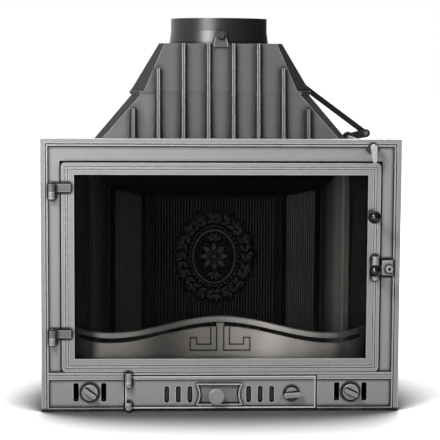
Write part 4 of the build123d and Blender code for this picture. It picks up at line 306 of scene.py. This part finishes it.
def makeIron(name, look):
    finish, tree, shader = newFinish(name)
    skin = useGroup(tree, castSkin, {"Colour": look["colour"], "Mottle": look["mottle"],
                                     "Grain scale": look["grain"], "Pits": look["pits"],
                                     "Roughness": look["roughness"],
                                     "Roughness spread": look["roughnessSpread"]})
    highlighted = useGroup(tree, edgeHighlightAndWear, {"Colour": skin.outputs["Colour"], "Edge colour": look["edgeColour"],
                                         "Amount": look["edge"], "Width": look["edgeWidth"],
                                         "Sharper than": look["sharper"], "Upright only": look["upright"]})
    shadedAndDusty = useGroup(tree, hollowShadeAndDust, {"Colour": highlighted.outputs["Colour"],
                                         "Shade and dust colour": look["shadeAndDustColour"], "Hollows": look["hollows"],
                                         "Up faces": look["upFaces"], "Reach": look["reach"],
                                         "Open from": look["openFrom"], "Full below": look["fullBelow"]})
    colour = shadedAndDusty.outputs["Colour"]
    if "blackening" in look:
        colour = firesideSoot(tree, colour, look)
    if "flank" in look:
        colour = darkFlanks(tree, colour, look)
    if "turned" in look:
        turn = look["turned"]
        colour = useGroup(tree, turnedFaces, {"Colour": colour, "Other colour": turn["colour"],
                                              "Way": turn["way"], "From": turn["from"],
                                              "Full at": turn["full"]}).outputs["Colour"]
    if "rim" in look:
        colour = plateRim(tree, colour, look)
    if "sideLit" in look:
        colour = useGroup(tree, sideLight, {"Colour": colour}).outputs["Colour"]
    if "tones" in look:
        colour = mixColour(tree, 1.0, colour, tonesAlong(tree, look), "MULTIPLY")
    bump = place(tree, "ShaderNodeBump", {"Height": skin.outputs["Height"], "Strength": look["bump"],
                                          "Distance": look["bumpDepth"]})
    feed(tree, shader, {"Base Color": colour, "Roughness": skin.outputs["Roughness"],
                        "Metallic": look["metallic"], "Specular IOR Level": look["specular"],
                        "Normal": bump.outputs["Normal"]})
    return finish


# Finishes; every iron starts from another one and names what differs. An edge gets the painted highlight
# where the cosine of its turn is below "sharper"; painted shade in hollows (pale ash on the ash pan) starts
# below "openFrom" of open sky and is full at "fullBelow"
frameLook = {"colour": grey(0.31), "mottle": 0.06, "grain": 1500.0, "pits": 0.15, "roughness": 0.38,
             "roughnessSpread": 0.08, "metallic": 0.3, "specular": 0.5, "edgeColour": grey(1.0),
             "edge": 1.0, "edgeWidth": 2.0 * mm, "sharper": 0.995, "upright": 0.0,
             "shadeAndDustColour": grey(0.002), "hollows": 1.0, "upFaces": 0.0, "reach": 8.0 * mm,
             "openFrom": 0.984, "fullBelow": 0.88, "bump": 0.25, "bumpDepth": 0.2 * mm}
framePaint = makeIron("Grey stove paint", frameLook)
ashDoorLook = dict(frameLook, rim={"X": (-188.5 * mm, 188.5 * mm), "Z": (4.5 * mm, 71.7 * mm)}, rimShine=0.7,
                   shineDepth=(2.9 * mm, 4.0 * mm), gapShadeDepth=(1.5 * mm, 2.1 * mm))
ashDoorPaint = makeIron("Ash door paint", ashDoorLook)
hingeLook = dict(frameLook, colour=grey(0.16), mottle=0.3, pits=0.7, bump=0.5, edge=0.5, metallic=0.35)
hingeIron = makeIron("Rough hinge iron", hingeLook)

# Bare castings, from a plain look
plainLook = dict(frameLook, colour=grey(0.085), mottle=0.14, grain=900.0, pits=0.4, roughness=0.6,
                 metallic=0.12, edgeColour=grey(0.95), edgeWidth=3.2 * mm, sharper=0.94,
                 shadeAndDustColour=grey(0.003), reach=16.0 * mm, openFrom=0.96, fullBelow=0.74, bump=0.35,
                 bumpDepth=0.3 * mm)
# On the hood the rib flanks and the faces that look up get painted shade, and the painted edge highlight
# keeps to upright edges
hoodLook = dict(plainLook, flank=0.7, flankTurn=(0.25, 0.6), upright=1.0, upFaces=0.6)
hoodIron = makeIron("Blackened hood iron", hoodLook)
bodyLook = dict(plainLook, colour=grey(0.13), specular=0.15, mottle=0.2, roughness=0.55, edge=0.4,
                reach=12.0 * mm, openFrom=0.9, fullBelow=0.5, blackening=grey(0.003, 0.05), fire=(0, 200 * mm, 0),
                sootFacing=(0.01, 0.05))
bodyIron = makeIron("Firebox iron", bodyLook)
collarLook = dict(plainLook, colour=grey(0.058), roughness=0.32, mottle=0.1, edgeColour=grey(0.2), edge=0.4,
                  metallic=0.8, bump=0.12, reach=10.0 * mm, openFrom=0.9, fullBelow=0.5)
collarIron = makeIron("Collar iron", collarLook)
panLook = dict(plainLook, colour=grey(0.12), roughness=0.5, metallic=0.7, upFaces=0.3,
               shadeAndDustColour=grey(0.3, 0.04), reach=8.0 * mm, mottle=0.2, edge=0.4)
panSteel = makeIron("Ash pan sheet", panLook)

# Liners behind the glass, sooty and worn by the fire; "turned" is painted shade on one flank of the flutes
# or on the flanks of the carving
linerLook = dict(plainLook, colour=grey(0.032, 0.04), mottle=0.16, edgeColour=grey(0.13, 0.06), edge=0.9,
                 edgeWidth=1.0 * mm, sharper=0.995, shadeAndDustColour=grey(0.0005), metallic=0.0, specular=0.04,
                 reach=5.0 * mm, openFrom=0.98, fullBelow=0.8, bump=0.1, bumpDepth=0.1 * mm)
linerIron = makeIron("Sooty liner iron", linerLook)
backFluteLook = dict(linerLook, colour=grey(0.042, 0.04),
                     turned={"colour": grey(0.0005), "way": (1, 0, 0), "from": -0.35, "full": 0.05})
backFluteIron = makeIron("Back liner iron", backFluteLook)
leftFluteLook = dict(linerLook, colour=grey(0.085, 0.04), fullBelow=0.84,
                     turned={"colour": grey(0.0005), "way": (1, 0, 0), "from": 0.45, "full": 0.7})
leftFluteIron = makeIron("Left corner liner iron", leftFluteLook)
rightFluteLook = dict(leftFluteLook, colour=grey(0.095, 0.04),
                      turned={"colour": grey(0.0005), "way": (-1, 0, 0), "from": 0.45, "full": 0.7})
rightFluteIron = makeIron("Right corner liner iron", rightFluteLook)
carveIronLook = dict(linerLook, colour=grey(0.046, 0.04), edge=0.0,
                     turned={"colour": grey(0.0005), "way": (0, 1, 0), "from": -0.85, "full": -0.45})
carveIron = makeIron("Carved liner iron", carveIronLook)
sootLook = dict(linerLook, colour=grey(0.001, 0.05), edgeColour=grey(0.004, 0.05), edge=0.5)
sootIron = makeIron("Sooty plain iron", sootLook)
# The right side liner is a lit copy and the left a shaded copy of one finish, both with the painted side
# light
rightSideLook = dict(sootLook, colour=grey(0.165, 0.05), sideLit=True)
rightSideIron = makeIron("Lit side liner iron", rightSideLook)
leftSideLook = dict(rightSideLook, colour=grey(0.04, 0.06))
leftSideIron = makeIron("Shaded side liner iron", leftSideLook)
# The tones along the retainer paint a highlight right of the middle and shade towards both ends
railLook = dict(linerLook, colour=grey(0.48, 0.05), mottle=0.08, roughness=0.4, edgeColour=grey(0.6, 0.04),
                edge=0.6, shadeAndDustColour=grey(0.002), metallic=0.5, specular=0.5,
                axis="X", span=(-287 * mm, 287 * mm),
                tones=[(0.0, 0.01), (1.0, 0.01), (0.055, 0.03), (0.095, 0.42), (0.16, 0.38), (0.3, 0.12),
                       (0.46, 0.32), (0.58, 0.62), (0.67, 1.0), (0.76, 0.62), (0.87, 0.34), (0.925, 0.08)])
railIron = makeIron("Retainer iron", railLook)

# Steel of bolts, knobs, levers and pins
boltLook = dict(frameLook, colour=grey(0.25), roughness=0.34, metallic=0.8, edgeColour=grey(0.8),
                grain=2200.0, reach=4.0 * mm)
boltSteel = makeIron("Oiled bolt steel", boltLook)
discLook = dict(boltLook, colour=grey(0.34), edgeColour=grey(0.9), metallic=0.5)
discSteel = makeIron("Turned knob steel", discLook)
handLook = dict(boltLook, colour=grey(0.05), roughness=0.38, edgeColour=grey(0.3))
handIron = makeIron("Dark handle steel", handLook)
# The tones keep the middle of the slide plate light and paint shade on its sides, seen through the slots
slideLook = dict(handLook, colour=grey(0.22), metallic=0.3, axis="X", span=(-110 * mm, 110 * mm),
                 tones=[(0.0, 0.18), (1.0, 0.18), (0.27, 0.18), (0.33, 1.0), (0.67, 1.0), (0.73, 0.18)])
slideIron = makeIron("Air slide sheet", slideLook)
brightLook = dict(boltLook, colour=grey(0.62), roughness=0.28, metallic=1.0, edgeColour=grey(0.85),
                  mottle=0.05)
brightSteel = makeIron("Turned steel", brightLook)
paddleLook = dict(brightLook, colour=grey(0.55), roughness=0.4, metallic=0.6)
paddleSteel = makeIron("Worn paddle steel", paddleLook)

knobLook = {"colour": grey(0.004), "smeared": grey(0.01), "smearScale": 90.0, "smearDetail": 5.0,
            "smearRough": 0.6, "toneFrom": (0.45, 0.7), "roughness": (0.07, 0.13), "roughFrom": (0.4, 0.7),
            "coat": 0.25, "coatRoughness": 0.03}
knobBlack, tree, shader = newFinish("Black moulded knob")
smear = noise(tree, objectPoint(tree), knobLook["smearScale"], knobLook["smearDetail"],
              knobLook["smearRough"])
smeared = spread(tree, smear, 0.0, 1.0, *knobLook["toneFrom"])
feed(tree, shader, {"Base Color": mixColour(tree, smeared, knobLook["colour"], knobLook["smeared"]),
                    "Roughness": spread(tree, smear, *knobLook["roughness"], *knobLook["roughFrom"]),
                    "Coat Weight": knobLook["coat"], "Coat Roughness": knobLook["coatRoughness"]})

ropeLook = {"colour": grey(0.09, 0.04), "gap": grey(0.02), "fibreScale": 2600.0, "fibreRough": 0.7,
            "toneFrom": (0.35, 0.6), "roughness": (0.95, 0.8), "bump": 0.6, "bumpDepth": 0.4 * mm}
ropeFibre, tree, shader = newFinish("Glass fibre rope")
fibre = noise(tree, objectPoint(tree), ropeLook["fibreScale"], rough=ropeLook["fibreRough"])
raised = spread(tree, fibre, 0.0, 1.0, *ropeLook["toneFrom"])
bump = place(tree, "ShaderNodeBump", {"Height": fibre, "Strength": ropeLook["bump"],
                                      "Distance": ropeLook["bumpDepth"]})
feed(tree, shader, {"Base Color": mixColour(tree, raised, ropeLook["gap"], ropeLook["colour"]),
                    "Roughness": spread(tree, fibre, *ropeLook["roughness"]),
                    "Normal": bump.outputs["Normal"]})

glassLook = {"colour": (0.93, 0.925, 0.915, 1), "hazed": (0.86, 0.85, 0.835, 1), "hazeScale": 9.0,
             "hazeDetail": 5.0, "hazeRough": 0.6, "toneFrom": (0.45, 0.8), "roughness": (0.0, 0.03),
             "roughFrom": (0.4, 0.8), "ior": 1.07}
ceramicGlass, tree, shader = newFinish("Ceramic glass")
haze = noise(tree, objectPoint(tree), glassLook["hazeScale"], glassLook["hazeDetail"], glassLook["hazeRough"])
hazed = spread(tree, haze, 0.0, 1.0, *glassLook["toneFrom"])
feed(tree, shader, {"Base Color": mixColour(tree, hazed, glassLook["colour"], glassLook["hazed"]),
                    "Roughness": spread(tree, haze, *glassLook["roughness"], *glassLook["roughFrom"]),
                    "Transmission Weight": 1.0, "IOR": glassLook["ior"]})
print("finishes made")


def dress(finish, slot, *names):
    for name in names:
        piece = nodes[name]
        piece.data.materials.clear()
        piece.data.materials.append(finish)


# Softened edges of the large castings; angles in degrees
softLook = {"merge": 0.005 * mm, "flatWithin": 0.5, "cornersFrom": 35, "segments": 2}


def soften(width, *names):
    # The flat faces are joined first, so that the bevel meets clean edges
    for name in names:
        piece = nodes[name]
        piece.modifiers.new("Weld", "WELD").merge_threshold = softLook["merge"]
        flat = piece.modifiers.new("Flat faces", "DECIMATE")
        flat.decimate_type = "DISSOLVE"
        flat.angle_limit = math.radians(softLook["flatWithin"])
        bevel = piece.modifiers.new("Soft edges", "BEVEL")
        bevel.width = width
        bevel.segments = softLook["segments"]
        bevel.limit_method = "ANGLE"
        bevel.angle_limit = math.radians(softLook["cornersFrom"])


dress(framePaint, "frame_iron", "front_frame", "main_door_frame", "frame_hinge_lugs", "latch_keeper",
      "latch_lugs")
dress(ashDoorPaint, "frame_iron", "ash_door")
dress(hingeIron, "frame_iron", "door_hinge_leaves")
dress(hoodIron, "body_iron", "shoulder_casing", "hood_casing", "spindle_bracket", "shaft_bearing")
dress(bodyIron, "body_iron", "base_plate", "left_wall", "right_wall", "back_wall", "ash_box")
dress(collarIron, "collar_iron", "flue_collar", "damper_flap")
dress(linerIron, "liner_iron", "hearth_plate", "grate")
dress(backFluteIron, "liner_iron", "back_liner")
dress(leftFluteIron, "liner_iron", "left_corner_liner")
dress(rightFluteIron, "liner_iron", "right_corner_liner")
dress(sootIron, "liner_iron", "baffle_plate")
dress(leftSideIron, "liner_iron", "left_side_liner")
dress(rightSideIron, "liner_iron", "right_side_liner")
dress(railIron, "liner_iron", "log_retainer")
dress(boltSteel, "dark_steel", "flange_bolts", "small_bolts", "clip_screws", "glass_clips",
      "guide_screws", "slide_guides", "shaft_crank_pin", "spindle_crank_pin")
dress(discSteel, "dark_steel", "left_valve_knob", "right_valve_knob", "air_slide_knob", "ash_catch_wing",
      "keeper_bolt", "pull_knob_stem", "latch_lever")
dress(handIron, "dark_steel", "damper_shaft", "shaft_crank", "spindle_crank", "damper_bar", "damper_spindle",
      "left_valve_shutter", "right_valve_shutter", "ash_catch_cam")
dress(slideIron, "dark_steel", "air_slide_plate")
dress(brightSteel, "bright_steel", "hinge_pins", "latch_pin")
dress(paddleSteel, "bright_steel", "damper_paddle")
dress(knobBlack, "black_knob", "pull_knob_ball", "latch_ball")
dress(ropeFibre, "rope", "door_rope", "glass_tape")
dress(ceramicGlass, "ceramic_glass", "door_glass")
dress(panSteel, "body_iron", "ash_pan")
soften(0.5 * mm, "front_frame", "main_door_frame", "ash_door")
soften(1.0 * mm, "shoulder_casing", "hood_casing", "log_retainer")
print("CAD nodes dressed")


# Mesh helpers

def newObject(name, data):
    thing = bpy.data.objects.new(name, data)
    bpy.context.scene.collection.objects.link(thing)
    return thing


def meshObject(name, mesh, finish):
    data = bpy.data.meshes.new(name)
    mesh.to_mesh(data)
    mesh.free()
    data.materials.append(finish)
    return newObject(name, data)


def meshPiece(name, mesh, finish, body):
    piece = meshObject(name, mesh, finish)
    for face in piece.data.polygons:
        face.use_smooth = True
    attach(piece, body)
    return piece


def spun(profile, origin, axis, steps):
    # profile: radius and distance along the axis, in metres
    mesh = bmesh.new()
    axis = Vector(axis).normalized()
    side = axis.orthogonal().normalized()
    verts = [mesh.verts.new(Vector(origin) + axis * along + side * radius) for radius, along in profile]
    edges = [mesh.edges.new(pair) for pair in zip(verts, verts[1:])]
    bmesh.ops.spin(mesh, geom=verts + edges, cent=origin, axis=axis, angle=2 * math.pi, steps=steps)
    bmesh.ops.remove_doubles(mesh, verts=mesh.verts, dist=0.01 * mm)  # closes the seam and both poles
    bmesh.ops.recalc_face_normals(mesh, faces=mesh.faces)
    return mesh


def bridge(mesh, rings, closed):
    # Skins one ring of verts to the next
    followers = rings[1:] + rings[:1] if closed else rings[1:]
    for ring, following in zip(rings, followers):
        for side in range(len(ring)):
            after = (side + 1) % len(ring)
            mesh.faces.new((ring[side], ring[after], following[after], following[side]))


def flatWay(angle):
    # Direction in the upright plane of doors and liners
    return Vector((math.cos(angle), 0, math.sin(angle)))


# Ball knobs of the door pull and the latch lever
ballLook = {"rings": 20, "around": 48, "neckAngle": 25}
for node, body in (("pull_knob_ball", "main_door"), ("latch_ball", "door_latch")):
    low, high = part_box(node)
    centre = (low + high) / 2
    radius = (high.x - low.x) / 2
    start = math.radians(ballLook["neckAngle"])
    profile = [(0, radius * math.cos(start))]
    for step in range(ballLook["rings"] + 1):
        angle = start + (math.pi - start) * step / ballLook["rings"]
        profile.append((radius * math.sin(angle), radius * math.cos(angle)))
    mesh = spun(profile, centre, (0, 1, 0), ballLook["around"])
    ball = meshPiece(node + "_smooth", mesh, knobBlack, body)
    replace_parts(ball, node)
print("ball knobs made")

# Braided seal in the groove of the door
braidLook = {"cornerRadius": 5.0 * mm, "cornerSteps": 6, "halfWidth": 2.75 * mm, "halfDepth": 3.3 * mm,
             "step": 1.2 * mm, "sides": 18, "relief": 0.16, "strands": 3, "pitch": 7.0 * mm}
low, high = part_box("door_rope")
middle = (low + high) / 2
hubX = (high.x - low.x) / 2 - braidLook["halfWidth"] - braidLook["cornerRadius"]
hubZ = (high.z - low.z) / 2 - braidLook["halfWidth"] - braidLook["cornerRadius"]
path = []
for quarter, (signX, signZ) in enumerate([(1, 1), (-1, 1), (-1, -1), (1, -1)]):
    hub = Vector((signX * hubX, 0, signZ * hubZ))
    for step in range(braidLook["cornerSteps"] + 1):
        outward = flatWay(quarter * math.pi / 2 + math.pi / 2 * step / braidLook["cornerSteps"])
        path.append((hub + braidLook["cornerRadius"] * outward, outward))
stations = []
travelled = 0.0
for (point, outward), (nextPoint, nextOutward) in zip(path, path[1:] + path[:1]):
    length = (nextPoint - point).length
    count = max(1, round(length / braidLook["step"]))
    for step in range(count):
        share = step / count
        stations.append((point.lerp(nextPoint, share), outward.lerp(nextOutward, share).normalized(),
                         travelled + length * share))
    travelled += length
twist = 2 * math.pi * round(travelled / braidLook["pitch"]) / travelled
mesh = bmesh.new()
rings = []
for point, outward, along in stations:
    ring = []
    for side in range(braidLook["sides"]):
        angle = 2 * math.pi * side / braidLook["sides"]
        weave = abs(math.sin(braidLook["strands"] * angle / 2 + twist * along / 2)
                    * math.sin(braidLook["strands"] * angle / 2 - twist * along / 2))
        swell = 1 - braidLook["relief"] * (1 - weave)
        offset = outward * braidLook["halfWidth"] * math.cos(angle) * swell
        offset += Vector((0, 1, 0)) * braidLook["halfDepth"] * math.sin(angle) * swell
        ring.append(mesh.verts.new(middle + point + offset))
    rings.append(ring)
bridge(mesh, rings, True)
bmesh.ops.recalc_face_normals(mesh, faces=mesh.faces)
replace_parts(meshPiece("door_rope_braid", mesh, ropeFibre, "main_door"), "door_rope")
print("door rope braided")

# Carved rosette in a wreath on the middle of the back liner; leaves are length, width and height,
# angles are in radians and ovals are half width and half height
carveLook = {"centre": (0, 377.6 * mm, 259 * mm), "sink": 1.6 * mm, "boss": 6.0 * mm,
             "wreath": (70 * mm, 83 * mm), "leafCount": 26, "leaf": (21 * mm, 9 * mm, 5.0 * mm),
             "leafAhead": 0.1, "leafSplay": 0.55,
             "scrolls": (79 * mm, 92 * mm), "scrollCount": 16, "scrollSize": 8.0 * mm, "scrollTube": 2.4 * mm,
             "scrollFrom": 0.6, "scrollTurn": 4.6, "scrollCloses": 0.5, "scrollSteps": 12,
             "beads": (53 * mm, 65 * mm), "beadCount": 40, "beadSize": 2.6 * mm,
             "rim": (46 * mm, 58 * mm), "rimTube": 2.8 * mm, "rimSteps": 64,
             "petals": 8, "petal": (29 * mm, 15 * mm, 4.5 * mm), "petalFrom": 4 * mm,
             "innerPetal": (17 * mm, 9 * mm, 6.0 * mm), "innerPetalFrom": 3 * mm,
             "sprig": (19 * mm, 8 * mm, 4.0 * mm), "sprigFrom": 2 * mm, "sprigOut": 33 * mm,
             "sprigLeans": (-0.9, -0.3, 0.3, 0.9)}
leafForm = {"ends": 0.02, "widest": 0.8, "fullness": 0.9, "dome": 0.6, "veinDepth": 0.3, "veinWidth": 0.2,
            "rows": 8, "columns": 6}
tubeForm = {"sides": 8, "endSize": 0.55}
domeSplits = 2
carving = bmesh.new()
outwards = Vector((0, -1, 0))
carveCentre = Vector(carveLook["centre"])


def ovalPoint(radii, angle):
    return carveCentre + Vector((radii[0] * math.cos(angle), 0, radii[1] * math.sin(angle)))


def fullTurn(count):
    return [2 * math.pi * index / count for index in range(count)]


def carveLeaf(start, way, leafSize):
    # An almond dome with a vein, closed by a flat back inside the liner
    length, width, height = leafSize
    across = way.cross(outwards)
    rows = []
    for row in range(leafForm["rows"] + 1):
        share = leafForm["ends"] + (1 - 2 * leafForm["ends"]) * row / leafForm["rows"]
        half = width / 2 * math.sin(math.pi * share ** leafForm["widest"]) ** leafForm["fullness"]
        line = []
        for column in range(leafForm["columns"] + 1):
            aside = 2 * column / leafForm["columns"] - 1
            vein = 1 - leafForm["veinDepth"] * math.exp(-(aside / leafForm["veinWidth"]) ** 2)
            lift = height * (1 - aside * aside) * vein * math.sin(math.pi * share) ** leafForm["dome"]
            line.append(carving.verts.new(start + way * length * share + across * half * aside
                                          + outwards * (lift - carveLook["sink"])))
        rows.append(line)
    for row, following in zip(rows, rows[1:]):
        for index in range(len(row) - 1):
            carving.faces.new((row[index], row[index + 1], following[index + 1], following[index]))
    oneSide = [line[-1] for line in rows[1:]]
    otherSide = [line[0] for line in rows[-2:0:-1]]
    outline = rows[0] + oneSide + rows[-1][-2::-1] + otherSide
    carving.faces.new(outline[::-1])


def carveTube(points, tube, closed):
    # A round moulding through the points, half sunk in the liner
    count = len(points)
    rings = []
    for index, point in enumerate(points):
        before = points[index - 1] if closed or index else point
        after = points[(index + 1) % count] if closed or index < count - 1 else point
        across = (after - before).normalized().cross(outwards)
        swell = 1 if closed else math.sin(math.pi * index / (count - 1))
        radius = tube * (tubeForm["endSize"] + (1 - tubeForm["endSize"]) * swell)
        rings.append([carving.verts.new(point + across * radius * math.cos(angle)
                                        + outwards * radius * math.sin(angle))
                      for angle in fullTurn(tubeForm["sides"])])
    bridge(carving, rings, closed)
    if not closed:
        carving.faces.new(rings[0])
        carving.faces.new(rings[-1][::-1])


def carveDome(centre, radius):
    dome = bmesh.ops.create_icosphere(carving, subdivisions=domeSplits, radius=radius)
    bmesh.ops.translate(carving, verts=dome["verts"], vec=centre)


# Pairs of leaves, each pair along the oval
for index in range(carveLook["leafCount"]):
    angle = 2 * math.pi * (index + 0.5) / carveLook["leafCount"]
    root = ovalPoint(carveLook["wreath"], angle)
    along = ovalPoint(carveLook["wreath"], angle + carveLook["leafAhead"]) - root
    lean = math.atan2(along.z, along.x)
    for side in (-1, 1):
        carveLeaf(root, flatWay(lean + side * carveLook["leafSplay"]), carveLook["leaf"])

# Scrolls outside the leaves
for angle in fullTurn(carveLook["scrollCount"]):
    hub = ovalPoint(carveLook["scrolls"], angle)
    curl = []
    for step in range(carveLook["scrollSteps"] + 1):
        share = step / carveLook["scrollSteps"]
        way = flatWay(angle + carveLook["scrollFrom"] + carveLook["scrollTurn"] * share)
        curl.append(hub + way * carveLook["scrollSize"] * (1 - carveLook["scrollCloses"] * share))
    carveTube(curl, carveLook["scrollTube"], False)
    carveDome(hub, carveLook["scrollTube"])

# Ring of beads and the oval rim
for angle in fullTurn(carveLook["beadCount"]):
    carveDome(ovalPoint(carveLook["beads"], angle), carveLook["beadSize"])
carveTube([ovalPoint(carveLook["rim"], angle) for angle in fullTurn(carveLook["rimSteps"])],
          carveLook["rimTube"], True)

# Rosette with a sprig above and below it
for angle in fullTurn(carveLook["petals"]):
    way = flatWay(angle)
    carveLeaf(carveCentre + way * carveLook["petalFrom"], way, carveLook["petal"])
    between = flatWay(angle + math.pi / carveLook["petals"])
    carveLeaf(carveCentre + between * carveLook["innerPetalFrom"], between, carveLook["innerPetal"])
for side in (-1, 1):
    for lean in carveLook["sprigLeans"]:
        way = flatWay(side * math.pi / 2 + lean)
        root = carveCentre + Vector((0, 0, side * carveLook["sprigOut"]))
        carveLeaf(root + way * carveLook["sprigFrom"], way, carveLook["sprig"])
carveDome(carveCentre, carveLook["boss"])
bmesh.ops.recalc_face_normals(carving, faces=carving.faces)
meshPiece("back_liner_carving", carving, carveIron, "firebox")
print("back liner carved")

# Camera; angles in degrees, lens and sensor in millimetres
cameraLook = {"place": (-0.1291, -3.0075, 0.6876), "yaw": 2.402, "down": 5.875, "roll": 0.293, "lens": 127.6,
              "sensor": 36}
yaw = math.radians(cameraLook["yaw"])
down = math.radians(cameraLook["down"])
roll = math.radians(cameraLook["roll"])
ahead = Vector((math.sin(yaw) * math.cos(down), math.cos(yaw) * math.cos(down), -math.sin(down)))
right = Vector((math.cos(yaw), -math.sin(yaw), 0))
up = right.cross(ahead)
rightRolled = right * math.cos(roll) + up * math.sin(roll)
upRolled = up * math.cos(roll) - right * math.sin(roll)
camera = newObject("camera", bpy.data.cameras.new("camera"))
camera.data.lens = cameraLook["lens"]
camera.data.sensor_width = cameraLook["sensor"]
turn = Matrix((rightRolled, upRolled, -ahead)).transposed().to_4x4()
camera.matrix_world = Matrix.Translation(cameraLook["place"]) @ turn
bpy.context.scene.camera = camera

# Floor, backdrop and what reflections see of the studio. Fades on the floor are metres, those of the
# backdrop are parts of the direction looked in
stageLook = {"floor": 0.85, "floorHalf": 30, "floorBounce": 0.15, "glow": (0.3, 1.0), "glowFade": (0.55, 1.1),
             "contactReach": 0.42, "contactSamples": 48, "contactDark": 0.08, "contactFade": (0.55, 0.88),
             "world": 0.2, "frontDim": 0.3, "frontFade": (-0.3, 0.5), "rightDim": 0.04,
             "rightFade": (0.0, 0.5), "floorRightFade": (0.2, 1.6),
             "boxWay": (-0.5, -0.86, 0.1), "boxEdge": (0.95, 0.985), "boxLevel": 8.0, "boxFade": (5.2, 6.4)}


def rayKinds(tree):
    # Light that comes in through the glass by way of another surface isn't the seen backdrop
    path = tree.nodes.new("ShaderNodeLightPath").outputs
    matt = calc(tree, "LESS_THAN", path["Diffuse Depth"], 0.5)
    glossed = calc(tree, "GREATER_THAN", path["Glossy Depth"], 0.5)
    through = calc(tree, "MULTIPLY", path["Is Transmission Ray"], matt)
    throughGloss = calc(tree, "MULTIPLY", through, glossed)
    seen = calc(tree, "MAXIMUM", path["Is Camera Ray"], calc(tree, "SUBTRACT", through, throughGloss))
    return seen, calc(tree, "MAXIMUM", path["Is Glossy Ray"], throughGloss)


def softBox(tree, way):
    # A bright patch in one direction, for the streaks in gloss
    facing = dot(tree, way, Vector(stageLook["boxWay"]).normalized())
    return spread(tree, facing, 0.0, stageLook["boxLevel"], *stageLook["boxEdge"])


floorWhite = bpy.data.materials.new("Studio floor")
floorWhite.use_nodes = True
tree = floorWhite.node_tree
tree.nodes.clear()
seen, glossy = rayKinds(tree)
# Painted contact shadow on the floor, from ambient occlusion
contact = place(tree, "ShaderNodeAmbientOcclusion", {"Distance": stageLook["contactReach"]},
                samples=stageLook["contactSamples"])
shadow = place(tree, "ShaderNodeMapRange",
               {"Value": contact.outputs["AO"], "From Min": stageLook["contactFade"][0],
                "From Max": stageLook["contactFade"][1], "To Min": stageLook["contactDark"]},
               interpolation_type="SMOOTHSTEP").outputs["Result"]
where = objectPoint(tree)
away = place(tree, "ShaderNodeVectorMath", {0: where}, operation="LENGTH").outputs["Value"]
level = vectorCalc(tree, "MULTIPLY", where, (1, 1, 0))
level = place(tree, "ShaderNodeVectorMath", {0: level}, operation="NORMALIZE").outputs["Vector"]
boxFloor = calc(tree, "MULTIPLY", softBox(tree, level), spread(tree, away, 0.0, 1.0, *stageLook["boxFade"]))
dimFloor = spread(tree, axisPart(tree, where, "X"), 1.0, stageLook["rightDim"], *stageLook["floorRightFade"])
reflected = calc(tree, "MULTIPLY", glossy, calc(tree, "MAXIMUM", dimFloor, boxFloor))
glowLevel = calc(tree, "MULTIPLY", spread(tree, away, *stageLook["glow"], *stageLook["glowFade"]), shadow)
glowLevel = calc(tree, "MULTIPLY", glowLevel, calc(tree, "MAXIMUM", seen, reflected))
seenTone = calc(tree, "MULTIPLY", shadow, stageLook["floor"])
floorTone = mixLevel(tree, seen, stageLook["floorBounce"], seenTone)
matte = place(tree, "ShaderNodeBsdfDiffuse", {"Color": floorTone})
glow = place(tree, "ShaderNodeEmission", {"Color": grey(1), "Strength": glowLevel})
both = place(tree, "ShaderNodeAddShader", {0: matte.outputs[0], 1: glow.outputs[0]})
place(tree, "ShaderNodeOutputMaterial", {"Surface": both.outputs[0]})
plane = bmesh.new()
bmesh.ops.create_grid(plane, x_segments=1, y_segments=1, size=stageLook["floorHalf"])
floor = meshObject("floor", plane, floorWhite)

# White backdrop; reflections see it dimmer in front and to the right
world = bpy.data.worlds.new("studio")
bpy.context.scene.world = world
world.use_nodes = True
tree = world.node_tree
seen, glossy = rayKinds(tree)
way = tree.nodes.new("ShaderNodeTexCoord").outputs["Generated"]
front = spread(tree, axisPart(tree, way, "Y"), stageLook["frontDim"], 1.0, *stageLook["frontFade"])
side = spread(tree, axisPart(tree, way, "X"), 1.0, stageLook["rightDim"], *stageLook["rightFade"])
backdrop = calc(tree, "MAXIMUM", calc(tree, "MULTIPLY", front, side), softBox(tree, way))
level = mixLevel(tree, seen, mixLevel(tree, glossy, stageLook["world"], backdrop), 1.0)
feed(tree, tree.nodes["Background"], {"Color": grey(1), "Strength": level})

# Soft lamps; power in watts
lampLook = {
    "key": {"place": (-0.8, -1.25, 1.5), "aim": (0, 0, 0.3), "size": 0.5, "power": 34, "glints": True},
    "fill": {"place": (1.7, -1.9, 1.4), "aim": (0, 0, 0.3), "size": 1.2, "power": 33, "glints": False},
    "back": {"place": (0.6, 2.6, 2.6), "aim": (0, 0.2, 0.3), "size": 1.8, "power": 110, "glints": True},
}
for name, lamp in lampLook.items():
    light = bpy.data.lights.new(name, "AREA")
    light.size = lamp["size"]
    light.energy = lamp["power"]
    holder = newObject(name, light)
    holder.visible_glossy = lamp["glints"]
    holder.location = lamp["place"]
    holder.rotation_euler = (Vector(lamp["aim"]) - Vector(lamp["place"])).to_track_quat("-Z", "Y").to_euler()
bpy.context.scene.view_settings.view_transform = "Standard"
print("camera, stage and lamps set")
